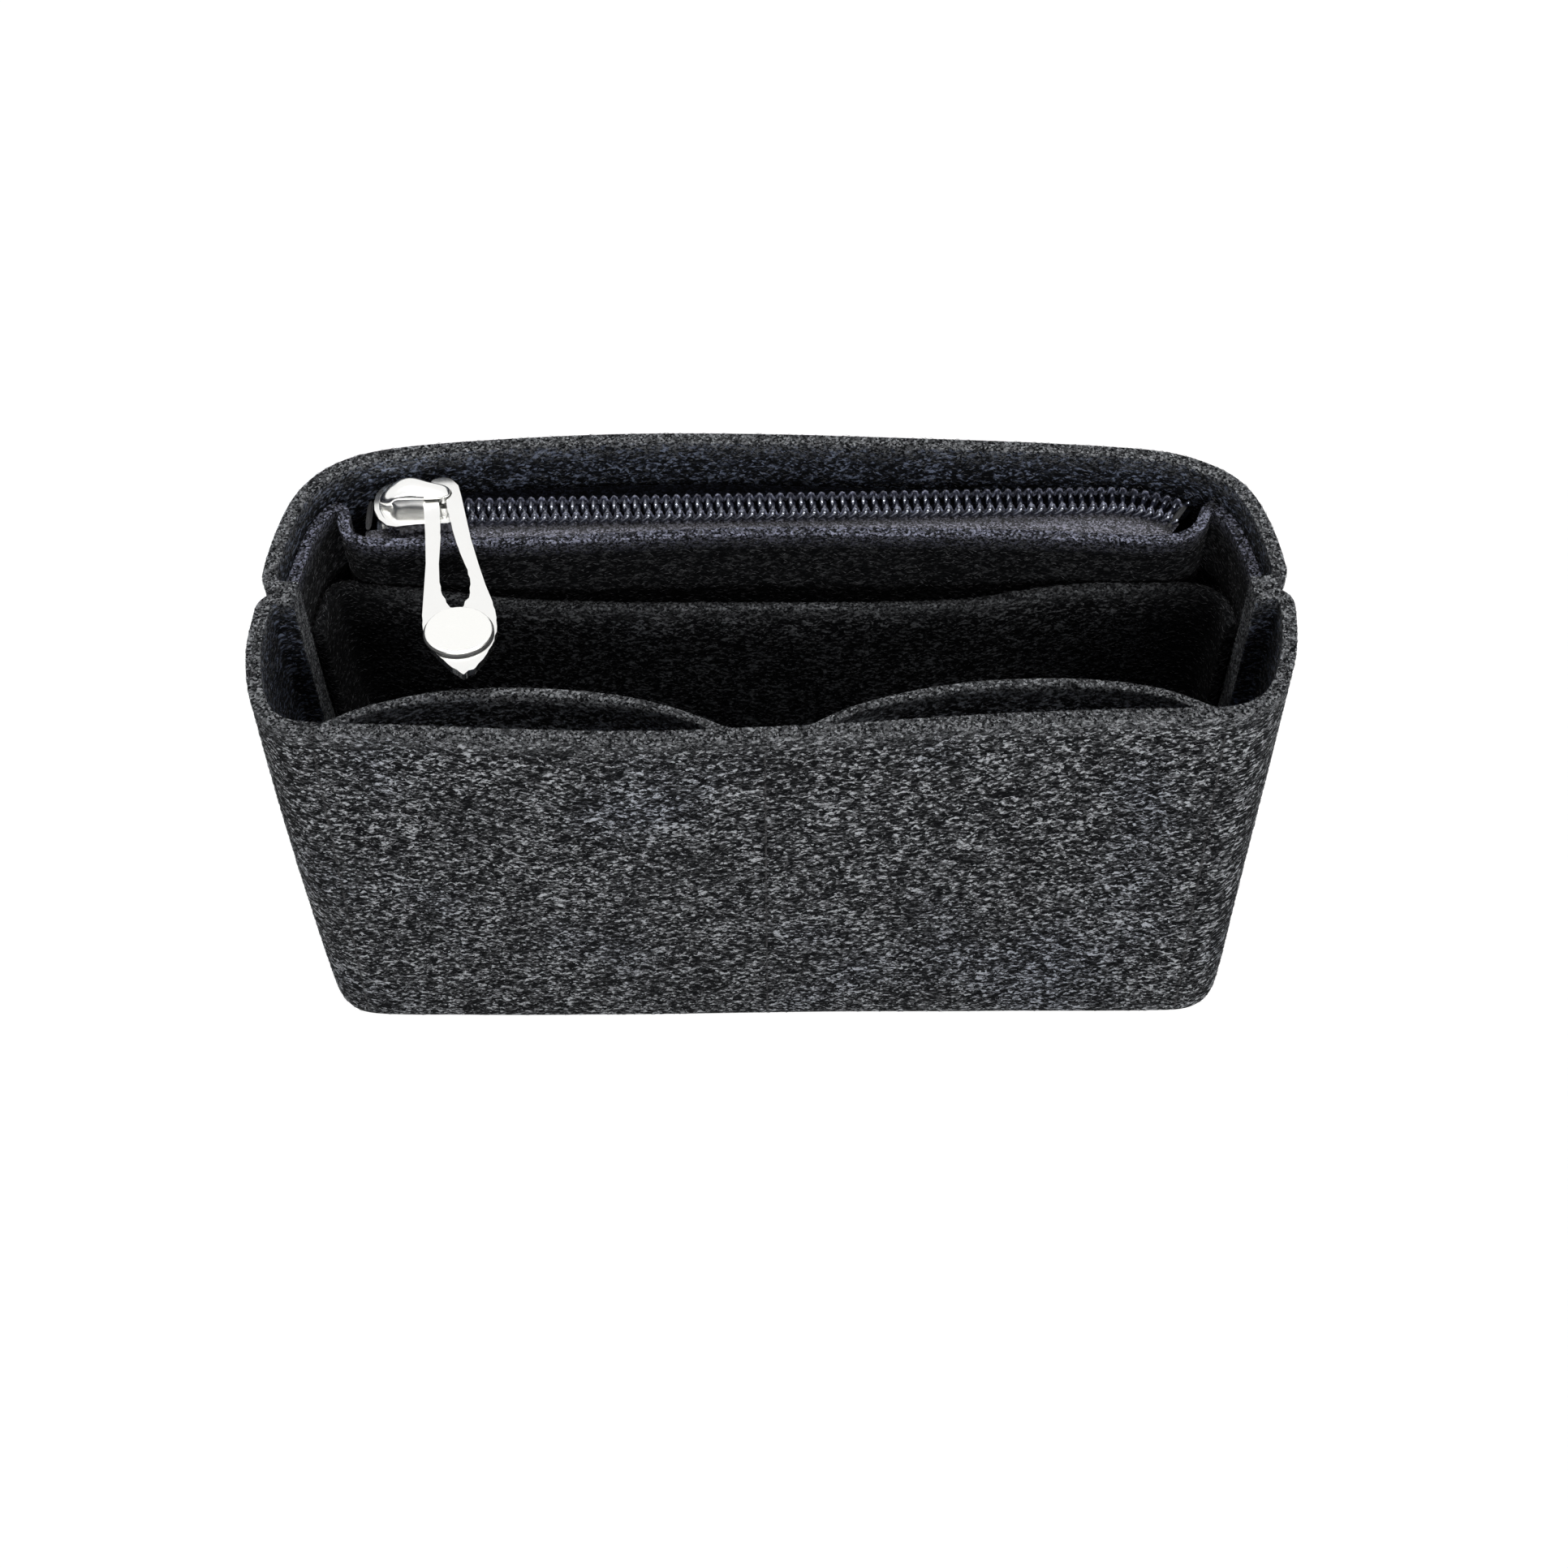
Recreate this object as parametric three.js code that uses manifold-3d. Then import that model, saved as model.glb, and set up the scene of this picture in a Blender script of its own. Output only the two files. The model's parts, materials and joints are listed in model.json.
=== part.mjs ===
import * as THREE from "three";
import { mergeVertices } from "three/addons/utils/BufferGeometryUtils.js";
import ManifoldModule from "manifold-3d";

// Purse organizer insert: a felt bag with an open middle, slip pockets and a zipped rear pocket.
// Millimetres, +Z up, +X along the width, +Y towards the rear wall, front wall at -Y.

// Overall sizes
const RIM_WIDTH = 144.9;
const RIM_DEPTH = 58.1;
const BASE_WIDTH = 136.4;
const BASE_DEPTH = 53.7;
const HEIGHT = 70;

// Felt and clearances
const FELT = 2;
const SEAM_GAP = 0.3;
const SEAM_BEND = 3;
const SEAM_ALLOWANCE = 3.3;
const BOTTOM_CURL = 0.8;
const CURL_HEIGHT = 3;
const WALL_FULLNESS = 1.5;

// Base tray
const TRAY_RIM_HEIGHT = 6.5;
const TRAY_HEEL_HEIGHT = 1.2;
const TRAY_HEEL_INSET = 0.4;

// Inner panels
const PANEL_FELT = 1.6;
const POCKET_DROP = 3;
const SLIP_DROP = 12.3;
const LIP_DROP = 4;
const POCKET_TOP = HEIGHT - POCKET_DROP;
const SLIP_TOP = HEIGHT - SLIP_DROP;
const LIP_TOP = HEIGHT - LIP_DROP;
const PANEL_RAMP = 3;
const PANEL_GAP = 0.5;
const PANEL_FULLNESS = 1.5;
const POCKET_FULLNESS = 2.5;

// Zip chain
const ZIP_SINK = 2.9;
const ZIP_PLANE = LIP_TOP - ZIP_SINK;
const ZIP_TILT_DEG = 6;
const ZIP_SLEW_DEG = 1.4;
const ZIP_PITCH = 1.5;
const TAPE = 0.5;
const TAPE_SLIT = 0.7;
const TAPE_BEND = 1;
const TAPE_LEG = 9;
const COIL_LIFT = 0.1;
const COIL_HEIGHT = 1.8;
const COIL_EDGE = 2.6;
const COIL_SPINE = 1.5;
const TOOTH_TIP = 0.6;
const TOOTH_WIDTH = 0.55;
const CHAIN_END_RADIUS = 20;
const CHAIN_END_DEG = 30;
const CHAIN_SPLIT = 2;
const CHAIN_SPLIT_LENGTH = 8;
const CHAIN_SPLIT_START = 1.55;
const TACK_LENGTH = 0.95;
const TACK_HEIGHT = 0.9;
const TACK_SPAN = 6.4;
const END_GAP = 0.35;

// Slider and pull
const SLIDER_LENGTH = 11.8;
const SLIDER_HALF_WIDTH = 4.45;
const SLIDER_PLATE = 1;
const SLIDER_FLANGE = 0.55;
const SLIDER_DROP = 1.6;
const PLATE_LIFT = 0.3;
const CROWN_LENGTH = 9.5;
const CROWN_WIDTH = 3.8;
const CROWN_CREST = 6.8;
const CROWN_SHEET = 0.9;
const POST_RADIUS = 0.95;
const POST_SHARE = 0.36;
const PULL_LENGTH = 41.7;
const PULL_SHEET = 1.2;
const PULL_EYE_RADIUS = 1.3;
const HARD_GAP = 0.15;
const DISC_RADIUS = 4.7;
const DISC_SHEET = 0.7;
const DISC_EDGE = 0.2;

// Curve steps
const SPAN_STEPS = 2;
const BEND_STEPS = 4;
const PANEL_STEPS = 2;
const ARC_STEPS = 20;
const TAPE_STEPS = 22;
const TAPE_BEND_STEPS = 3;
const CROWN_STEPS = 10;
const EYE_STEPS = 10;
const DISC_STEPS = 40;
const CHAIN_END_STEPS = 4;
const MITRE_LIMIT_SHARE = 0.5;
const WELD_SHARE = 1e-6;

// Outlines seen from above, as shares of the rim's or the base's width and depth
const rimShares = [
  [-0.4972, -0.0336], [-0.4986, -0.1076], [-0.5007, -0.1764], [-0.5000, -0.2367],
  [-0.4952, -0.3158], [-0.4848, -0.4002], [-0.4627, -0.4552], [-0.4296, -0.4725],
  [-0.3413, -0.4793], [-0.2660, -0.4897], [-0.1908, -0.4966], [-0.1156, -0.4983],
  [-0.0404, -0.4897], [0.0349, -0.4793], [0.1101, -0.4656], [0.1860, -0.4501],
  [0.2619, -0.4380], [0.3371, -0.4312], [0.4041, -0.4277], [0.4372, -0.4191],
  [0.4620, -0.3898], [0.4786, -0.3417], [0.4883, -0.2831], [0.4952, -0.2160],
  [0.4986, -0.1489], [0.5000, -0.0818], [0.4986, -0.0146], [0.4965, 0.0508],
  [0.4931, 0.1265], [0.4855, 0.2143], [0.4758, 0.2866], [0.4614, 0.3434],
  [0.4386, 0.3898], [0.4041, 0.4294], [0.3634, 0.4484], [0.2819, 0.4656],
  [0.2005, 0.4776], [0.1190, 0.4862], [0.0093, 0.4983], [-0.1266, 0.5017],
  [-0.2088, 0.4931], [-0.2902, 0.4776], [-0.3551, 0.4604], [-0.3965, 0.4415],
  [-0.4275, 0.4139], [-0.4551, 0.3640], [-0.4758, 0.2866], [-0.4876, 0.1816],
  [-0.4945, 0.0697],
];
const baseShares = [
  [-0.4916, -0.0307], [-0.4938, -0.1071], [-0.4960, -0.1909], [-0.4974, -0.2691],
  [-0.4974, -0.3510], [-0.4916, -0.4330], [-0.4732, -0.4851], [-0.4417, -0.5019],
  [-0.3640, -0.5037], [-0.2848, -0.5056], [-0.2056, -0.5037], [-0.1265, -0.5019],
  [-0.0458, -0.4981], [0.0348, -0.4944], [0.1155, -0.4926], [0.1961, -0.4926],
  [0.2768, -0.4907], [0.3574, -0.4907], [0.4293, -0.4888], [0.4659, -0.4814],
  [0.4908, -0.4404], [0.5004, -0.3696], [0.5026, -0.2877], [0.5026, -0.2132],
  [0.5011, -0.1462], [0.4996, -0.0791], [0.4982, -0.0121], [0.4967, 0.0549],
  [0.4945, 0.1331], [0.4894, 0.2263], [0.4806, 0.3045], [0.4652, 0.3752],
  [0.4410, 0.4385], [0.4087, 0.4777], [0.3721, 0.4926], [0.2929, 0.4981],
  [0.2093, 0.4981], [0.1243, 0.4981], [0.0099, 0.4981], [-0.1323, 0.4981],
  [-0.2174, 0.4981], [-0.3010, 0.4963], [-0.3655, 0.4870], [-0.4080, 0.4590],
  [-0.4388, 0.4162], [-0.4622, 0.3566], [-0.4784, 0.2784], [-0.4872, 0.1853],
  [-0.4908, 0.0773],
];
const lipShares = [
  [-0.4821, 0.0990], [-0.4752, 0.1850], [-0.4662, 0.2573], [-0.4551, 0.3090],
  [-0.4393, 0.3296], [-0.4248, 0.3021], [-0.4248, 0.2573], [-0.4151, 0.2177],
  [-0.3896, 0.2057], [-0.3288, 0.2091], [-0.2861, 0.2091], [-0.2053, 0.2177],
  [-0.1246, 0.2315], [-0.0438, 0.2418], [0.0369, 0.2453], [0.1177, 0.2418],
  [0.1984, 0.2384], [0.2792, 0.2315], [0.3433, 0.2194], [0.3820, 0.2177],
  [0.4068, 0.2298], [0.4206, 0.2642], [0.4275, 0.3124], [0.4413, 0.3399],
  [0.4579, 0.3158], [0.4689, 0.2608], [0.4779, 0.1850], [0.4827, 0.0990],
];
const lipFootShares = [
  [-0.4930, 0.0698], [-0.4886, 0.1629], [-0.4828, 0.2523], [-0.4703, 0.3305],
  [-0.4520, 0.3864], [-0.4322, 0.4274], [-0.4095, 0.4609], [-0.3867, 0.4795],
  [-0.3640, 0.4981], [-0.3332, 0.4981], [-0.2878, 0.4981], [-0.2115, 0.4981],
  [-0.1272, 0.4981], [-0.0436, 0.4981], [0.0407, 0.4981], [0.1243, 0.4981],
  [0.2078, 0.4981], [0.2841, 0.4981], [0.3457, 0.4981], [0.3757, 0.4907],
  [0.4029, 0.4851], [0.4234, 0.4683], [0.4446, 0.4423], [0.4630, 0.4013],
  [0.4784, 0.3492], [0.4901, 0.2747], [0.4982, 0.1816], [0.5026, 0.0885],
];
const slipShares = [
  [-0.4634, 0.0473], [-0.4600, 0.0990], [-0.4531, 0.1540], [-0.4393, 0.1954],
  [-0.4151, 0.2005], [-0.3696, 0.1781], [-0.2819, 0.1437], [-0.2081, 0.1282],
  [-0.1218, 0.1248], [-0.0445, 0.1248], [0.0369, 0.1248], [0.1184, 0.1265],
  [0.2005, 0.1368], [0.2440, 0.1644], [0.2978, 0.1850], [0.3447, 0.1954],
  [0.3889, 0.1971], [0.4234, 0.1885], [0.4455, 0.1609], [0.4579, 0.1127],
  [0.4648, 0.0645],
];
const slipFootShares = [
  [-0.4930, 0.0698], [-0.4886, 0.1629], [-0.4813, 0.2561], [-0.4630, 0.3492],
  [-0.4249, 0.4236], [-0.3787, 0.4795], [-0.3024, 0.4981], [-0.2225, 0.4981],
  [-0.1309, 0.4981], [-0.0466, 0.4981], [0.0407, 0.4981], [0.1257, 0.4981],
  [0.2122, 0.4981], [0.2614, 0.4981], [0.3185, 0.4981], [0.3684, 0.4981],
  [0.4175, 0.4795], [0.4520, 0.4330], [0.4791, 0.3585], [0.4945, 0.2561],
  [0.5026, 0.1257],
];
const pocketShares = [
  [-0.4489, -0.4690], [-0.4136, -0.4125], [-0.3877, -0.3757], [-0.3567, -0.3506],
  [-0.3205, -0.3266], [-0.2516, -0.3134], [-0.1720, -0.3268], [-0.1253, -0.3508],
  [-0.0882, -0.3837], [-0.0465, -0.4356], [-0.0079, -0.4850], [0.0300, -0.4420],
  [0.0655, -0.3826], [0.0882, -0.3594], [0.1211, -0.3306], [0.1816, -0.2976],
  [0.2500, -0.2852], [0.3130, -0.2900], [0.3668, -0.3179], [0.3888, -0.3420],
  [0.4120, -0.3734], [0.4413, -0.4243],
];
const pocketFootShares = [
  [-0.4593, -0.5447], [-0.4330, -0.5447], [-0.4084, -0.5447], [-0.3758, -0.5447],
  [-0.3376, -0.5447], [-0.2651, -0.5447], [-0.1812, -0.5447], [-0.1320, -0.5447],
  [-0.0929, -0.5447], [-0.0490, -0.5447], [-0.0083, -0.5447], [0.0316, -0.5447],
  [0.0690, -0.5447], [0.0929, -0.5447], [0.1276, -0.5447], [0.1913, -0.5447],
  [0.2634, -0.5447], [0.3297, -0.5447], [0.3864, -0.5447], [0.4096, -0.5447],
  [0.4340, -0.5447], [0.4586, -0.5447],
];

// Pull outline, slot and disc as shares of the pull's length, from its eye
const pullShares = [
  [-0.0395, 0.0767], [-0.0035, 0.0911], [0.0276, 0.0791], [0.0540, 0.0432],
  [0.0684, -0.0192], [0.0852, -0.1007], [0.1116, -0.2374], [0.1451, -0.3717],
  [0.1739, -0.4772], [0.2075, -0.5803], [0.2219, -0.6619], [0.2219, -0.7314],
  [0.2027, -0.7962], [0.1739, -0.8609], [0.1451, -0.9017], [0.1212, -0.9113],
  [0.0948, -0.8921], [0.0516, -0.8441], [0.0132, -0.7914], [-0.0203, -0.7242],
  [-0.0323, -0.6475], [-0.0347, -0.5204], [-0.0371, -0.3645], [-0.0491, -0.2038],
  [-0.0659, -0.0408], [-0.0635, 0.0288],
];
const slotShares = [
  [-0.0119, -0.0384], [-0.0035, -0.0767], [0.0012, -0.1559], [0.0084, -0.2062],
  [0.0108, -0.3669], [0.0204, -0.4820], [0.0372, -0.5444], [0.0612, -0.5851],
  [0.0972, -0.5875], [0.1164, -0.5612], [0.1224, -0.4940], [0.1140, -0.4221],
  [0.0948, -0.3693], [0.0684, -0.2902], [0.0444, -0.1966], [0.0324, -0.1343],
  [0.0168, -0.0695], [0.0132, -0.0360],
];
const discShare = [0.0955, -0.7151];
const rightSeamIndex = 26;

// The chain along the rim's width, and its place between the lip and the rear wall
const zipStartShare = -0.3609;
const chainShare = 0.7638;
const zipRoomShare = 0.511;

const rad = THREE.MathUtils.degToRad;
const wasm = await ManifoldModule();
wasm.setup();

// Plan curves: lists of [x, y]

function placed(shares, width, depth) {
  return shares.map(([x, y]) => [x * width, y * depth]);
}

function smoothed(points, steps, closed) {
  const curve = new THREE.CatmullRomCurve3(
    points.map(([x, y]) => new THREE.Vector3(x, y, 0)),
    closed,
    "centripetal",
  );
  const spans = closed ? points.length : points.length - 1;
  const result = [];
  const count = closed ? spans * steps : spans * steps + 1;
  for (let i = 0; i < count; i += 1) {
    const p = curve.getPoint(i / (spans * steps));
    result.push([p.x, p.y]);
  }
  return result;
}

function blend(a, b, share) {
  return a.map(([x, y], i) => [x + (b[i][0] - x) * share, y + (b[i][1] - y) * share]);
}

// Unit normals on the left of the direction of travel, mitred at each point
function normals(points, closed) {
  const n = points.length;
  return points.map((p, i) => {
    const before = points[closed ? (i + n - 1) % n : Math.max(i - 1, 0)];
    const after = points[closed ? (i + 1) % n : Math.min(i + 1, n - 1)];
    const inwards = new THREE.Vector2(p[0] - before[0], p[1] - before[1]).normalize();
    const onwards = new THREE.Vector2(after[0] - p[0], after[1] - p[1]).normalize();
    const mean = inwards.add(onwards).normalize();
    const chord = onwards.lengthSq() ? onwards.dot(mean) : 1;
    const stretch = 1 / Math.max(chord, MITRE_LIMIT_SHARE);
    return [-mean.y * stretch, mean.x * stretch];
  });
}

function offset(points, distance, closed) {
  const away = normals(points, closed);
  return points.map(([x, y], i) => [x + away[i][0] * distance, y + away[i][1] * distance]);
}

const rimCurve = smoothed(placed(rimShares, RIM_WIDTH, RIM_DEPTH), SPAN_STEPS, true);
const baseCurve = smoothed(placed(baseShares, BASE_WIDTH, BASE_DEPTH), SPAN_STEPS, true);

// The walls flare most near the foot, so their profile bows outwards
function flareAt(z) {
  return 1 - (1 - z / HEIGHT) ** WALL_FULLNESS;
}

function wallCurve(z) {
  return blend(baseCurve, rimCurve, flareAt(z));
}

function curlAt(z) {
  return z < CURL_HEIGHT ? BOTTOM_CURL * (1 - z / CURL_HEIGHT) ** 2 : 0;
}

// Nearest place on a path, with the normal on its left there
function nearest(point, curve, closed) {
  let best = { distance: Infinity };
  const spans = closed ? curve.length : curve.length - 1;
  for (let i = 0; i < spans; i += 1) {
    const a = curve[i];
    const b = curve[(i + 1) % curve.length];
    const dx = b[0] - a[0];
    const dy = b[1] - a[1];
    const length = Math.hypot(dx, dy);
    const along = ((point[0] - a[0]) * dx + (point[1] - a[1]) * dy) / length ** 2;
    const share = Math.min(Math.max(along, 0), 1);
    const foot = [a[0] + dx * share, a[1] + dy * share];
    const distance = Math.hypot(point[0] - foot[0], point[1] - foot[1]);
    if (distance < best.distance) {
      const inward = [-dy / length, dx / length];
      const side = (point[0] - foot[0]) * inward[0] + (point[1] - foot[1]) * inward[1];
      best = { distance, foot, inward, inside: Math.sign(side) * distance };
    }
  }
  return best;
}

// Moves each point to the left of a path until it stands at least clear of it
function keptOff(points, path, closed, clear) {
  return points.map((point) => {
    const found = nearest(point, path, closed);
    if (found.inside >= clear) return point;
    return [
      found.foot[0] + found.inward[0] * clear,
      found.foot[1] + found.inward[1] * clear,
    ];
  });
}

// Solids

function toManifold(geometry) {
  const bare = new THREE.BufferGeometry();
  const flat = geometry.index ? geometry.toNonIndexed() : geometry;
  bare.setAttribute("position", flat.getAttribute("position"));
  const merged = mergeVertices(bare, RIM_WIDTH * WELD_SHARE);
  const solid = new wasm.Manifold(
    new wasm.Mesh({
      numProp: 3,
      vertProperties: new Float32Array(merged.attributes.position.array),
      triVerts: new Uint32Array(merged.index.array),
    }),
  );
  return solid;
}

function toGeometry(solid) {
  const mesh = solid.getMesh();
  const geometry = new THREE.BufferGeometry();
  const positions = [];
  for (let i = 0; i < mesh.numVert; i += 1) {
    positions.push(...mesh.vertProperties.slice(i * mesh.numProp, i * mesh.numProp + 3));
  }
  geometry.setAttribute("position", new THREE.Float32BufferAttribute(positions, 3));
  geometry.setIndex([...mesh.triVerts]);
  return geometry;
}

function joined(...geometries) {
  return toGeometry(wasm.Manifold.union(geometries.map(toManifold)));
}

function cut(geometry, tool) {
  return toGeometry(toManifold(geometry).subtract(toManifold(tool)));
}

function fromTriangles(points, triangles) {
  const geometry = new THREE.BufferGeometry();
  geometry.setAttribute("position", new THREE.Float32BufferAttribute(points.flat(), 3));
  geometry.setIndex(triangles.flat());
  return outwards(geometry);
}

// Turns the faces round where the enclosed volume comes out negative
function outwards(geometry) {
  const p = geometry.getAttribute("position");
  const index = [...geometry.index.array];
  const corner = (i) => new THREE.Vector3().fromBufferAttribute(p, i);
  let volume = 0;
  for (let i = 0; i < index.length; i += 3) {
    volume += corner(index[i]).dot(corner(index[i + 1]).cross(corner(index[i + 2])));
  }
  if (volume < 0) {
    for (let i = 0; i < index.length; i += 3) {
      [index[i + 1], index[i + 2]] = [index[i + 2], index[i + 1]];
    }
    geometry.setIndex(index);
  }
  return geometry;
}

// A closed sheet between two grids of points with the same rows and columns
function closedSheet(front, back) {
  const rows = front.length;
  const columns = front[0].length;
  const points = [...front.flat(), ...back.flat()];
  const triangles = [];
  const at = (face, row, column) => face * rows * columns + row * columns + column;
  const quad = (a, b, c, d) => triangles.push([a, b, c], [a, c, d]);
  for (let i = 0; i < rows - 1; i += 1) {
    for (let j = 0; j < columns - 1; j += 1) {
      quad(at(0, i, j), at(0, i, j + 1), at(0, i + 1, j + 1), at(0, i + 1, j));
      quad(at(1, i, j), at(1, i + 1, j), at(1, i + 1, j + 1), at(1, i, j + 1));
    }
    quad(at(0, i, 0), at(0, i + 1, 0), at(1, i + 1, 0), at(1, i, 0));
    const last = columns - 1;
    quad(at(0, i, last), at(1, i, last), at(1, i + 1, last), at(0, i + 1, last));
  }
  for (let j = 0; j < columns - 1; j += 1) {
    quad(at(0, 0, j), at(1, 0, j), at(1, 0, j + 1), at(0, 0, j + 1));
    const last = rows - 1;
    quad(at(0, last, j), at(0, last, j + 1), at(1, last, j + 1), at(1, last, j));
  }
  return fromTriangles(points, triangles);
}

// A felt sheet that stands on edge: planAt(z) gives its first face, the other lies to the left
function standingSheet(planAt, levels, thickness) {
  const raised = (points, z) => points.map(([x, y]) => [x, y, z]);
  const front = levels.map((z) => raised(planAt(z), z));
  const back = levels.map((z) => raised(offset(planAt(z), thickness, false), z));
  return closedSheet(front, back);
}

// A solid of stacked closed rings, capped at both ends
function ringStack(rings) {
  const count = rings[0].points.length;
  const points = rings.flatMap((ring) => ring.points.map(([x, y]) => [x, y, ring.z]));
  const triangles = [];
  for (let r = 0; r < rings.length - 1; r += 1) {
    for (let i = 0; i < count; i += 1) {
      const next = (i + 1) % count;
      const a = r * count + i;
      const b = r * count + next;
      triangles.push([a, b, b + count], [a, b + count, a + count]);
    }
  }
  const cap = (ring) =>
    THREE.ShapeUtils.triangulateShape(
      ring.points.map(([x, y]) => new THREE.Vector2(x, y)),
      [],
    );
  const top = (rings.length - 1) * count;
  cap(rings[0]).forEach(([a, b, c]) => triangles.push([a, c, b]));
  cap(rings[rings.length - 1]).forEach(([a, b, c]) => {
    triangles.push([a + top, b + top, c + top]);
  });
  return fromTriangles(points, triangles);
}

function extruded(outline, bottom, top, holes = []) {
  const shape = new THREE.Shape(outline.map(([x, y]) => new THREE.Vector2(x, y)));
  for (const hole of holes) {
    shape.holes.push(new THREE.Path(hole.map(([x, y]) => new THREE.Vector2(x, y))));
  }
  const geometry = new THREE.ExtrudeGeometry(shape, {
    depth: top - bottom,
    bevelEnabled: false,
    steps: 1,
  });
  return geometry.translate(0, 0, bottom);
}

function mirrored(outline) {
  const back = outline.filter(([, y]) => y !== 0).reverse();
  return [...outline, ...back.map(([x, y]) => [x, -y])];
}

function arcPoints(centre, radius, from, to, steps) {
  const points = [];
  for (let i = 0; i <= steps; i += 1) {
    const angle = from + ((to - from) * i) / steps;
    points.push([
      centre[0] + radius * Math.cos(angle),
      centre[1] + radius * Math.sin(angle),
    ]);
  }
  return points;
}

function material(color, roughness, metalness) {
  return new THREE.MeshStandardMaterial({ color, roughness, metalness });
}

const FELT_COLOR = 0x35353b;
const INNER_FELT_COLOR = 0x2e2e34;
const TAPE_COLOR = 0x2d2b3d;
const COIL_COLOR = 0x1d1d2a;
const NICKEL_COLOR = 0xd9d6d6;

function part(name, geometry, color, roughness = 0.95, metalness = 0) {
  const mesh = new THREE.Mesh(geometry, material(color, roughness, metalness));
  mesh.geometry.computeVertexNormals();
  mesh.name = name;
  return mesh;
}

// Felt walls

const leftSeam = 0;
const rightSeam = rightSeamIndex * SPAN_STEPS;
const bendRoom = SEAM_BEND + SEAM_GAP;

// Steps along the walls, from a seam, to the first point clear of the seam's bend
function clearSteps(seam, direction) {
  const clearOn = (curve, step) => {
    const n = curve.length;
    const point = curve[(seam + direction * step + n) % n];
    return Math.hypot(point[0] - curve[seam][0], point[1] - curve[seam][1]) > bendRoom;
  };
  let step = 1;
  while (!clearOn(rimCurve, step) || !clearOn(baseCurve, step)) step += 1;
  return step;
}

// Square end of a shell at a side seam: the felt bends inwards and stands as a fin
function seamEnd(curve, index, direction) {
  const n = curve.length;
  const seam = curve[index];
  const behind = curve[(index + n - 1) % n];
  const ahead = curve[(index + 1) % n];
  const run = new THREE.Vector2(ahead[0] - behind[0], ahead[1] - behind[1]).normalize();
  const inward = new THREE.Vector2(-run.y, run.x);
  const point = (along, depth) => [
    seam[0] - direction * run.x * along + inward.x * depth,
    seam[1] - direction * run.y * along + inward.y * depth,
  ];
  const bend = [];
  for (let i = 0; i <= BEND_STEPS; i += 1) {
    const angle = (Math.PI / 2) * (i / BEND_STEPS);
    const along = SEAM_GAP / 2 + SEAM_BEND * (1 - Math.sin(angle));
    bend.push(point(along, SEAM_BEND * (1 - Math.cos(angle))));
  }
  bend.push(point(SEAM_GAP / 2, FELT + SEAM_ALLOWANCE));
  return bend;
}

function shellPlan(from, to, z) {
  const curve = offset(wallCurve(z), curlAt(z), true);
  const n = curve.length;
  const count = (to - from + n) % n;
  const middle = [];
  for (let i = clearSteps(from, 1); i <= count - clearSteps(to, -1); i += 1) {
    middle.push(curve[(from + i) % n]);
  }
  return [
    ...seamEnd(curve, from, -1).reverse(),
    ...middle,
    ...seamEnd(curve, to, 1),
  ];
}

const wallLevelShares = [0, 0.013, 0.043, 0.22, 0.45, 0.7, 1];

// The room that the tray takes at the foot of the walls, where the seam fins stop
function trayPlug() {
  const depth = FELT + SEAM_GAP / 2;
  const top = TRAY_RIM_HEIGHT + SEAM_GAP;
  return ringStack(
    [-CURL_HEIGHT, 0, TRAY_HEEL_HEIGHT, CURL_HEIGHT, top].map((z) => {
      const level = Math.max(z, 0);
      return { z, points: offset(wallCurve(level), depth + curlAt(level), true) };
    }),
  );
}

function wallShell(name, from, to) {
  const levels = wallLevelShares.map((share) => share * HEIGHT);
  const sheet = standingSheet((z) => shellPlan(from, to, z), levels, FELT);
  return part(name, cut(sheet, trayPlug()), FELT_COLOR);
}

// Base: a flat floor with an upturned sewn edge inside the walls
function basePanel() {
  const outer = FELT + SEAM_GAP;
  const inner = outer + FELT;
  const profile = [
    [outer + BOTTOM_CURL, 0],
    [outer + TRAY_HEEL_INSET, TRAY_HEEL_HEIGHT],
    [outer, CURL_HEIGHT],
    [outer, TRAY_RIM_HEIGHT],
    [inner, TRAY_RIM_HEIGHT],
    [inner, FELT],
  ];
  const rings = profile.map(([inset, z]) => ({
    z,
    points: offset(wallCurve(z), inset, true),
  }));
  return part("base_panel", ringStack(rings), FELT_COLOR);
}

// Inner panels: their paths blend from a foot curve to a top curve and keep off the walls
function panelPlan(foot, head, top, layers, fullness, z) {
  const ownDepth = (FELT + PANEL_GAP) * layers;
  const trayDepth = ownDepth + FELT + SEAM_GAP;
  const drawn = smoothed(placed(foot, BASE_WIDTH, BASE_DEPTH), PANEL_STEPS, false);
  const low = keptOff(drawn, wallCurve(0), true, trayDepth);
  const high = smoothed(placed(head, RIM_WIDTH, RIM_DEPTH), PANEL_STEPS, false);
  const rise = (z - TRAY_RIM_HEIGHT - SEAM_GAP) / PANEL_RAMP;
  const share = Math.min(Math.max(rise, 0), 1);
  const clear = trayDepth + (ownDepth - trayDepth) * share;
  const lean = 1 - (1 - z / top) ** fullness;
  return keptOff(blend(low, high, lean), wallCurve(z), true, clear);
}

// Stops the sides of a rear panel short of the seam fins
function clearOfFins(points, z) {
  const curve = wallCurve(z);
  const limit = (seam) => seam[1] + SEAM_GAP / 2 + SEAM_BEND + PANEL_GAP;
  const left = limit(curve[leftSeam]);
  const right = limit(curve[rightSeam]);
  const result = points.map((p) => [...p]);
  const last = result.length - 1;
  const slide = (end, next, height) => {
    const share = (height - next[1]) / (end[1] - next[1]);
    end[0] = next[0] + (end[0] - next[0]) * share;
    end[1] = height;
  };
  slide(result[0], result[1], left);
  slide(result[last], result[last - 1], right);
  return result;
}

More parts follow.
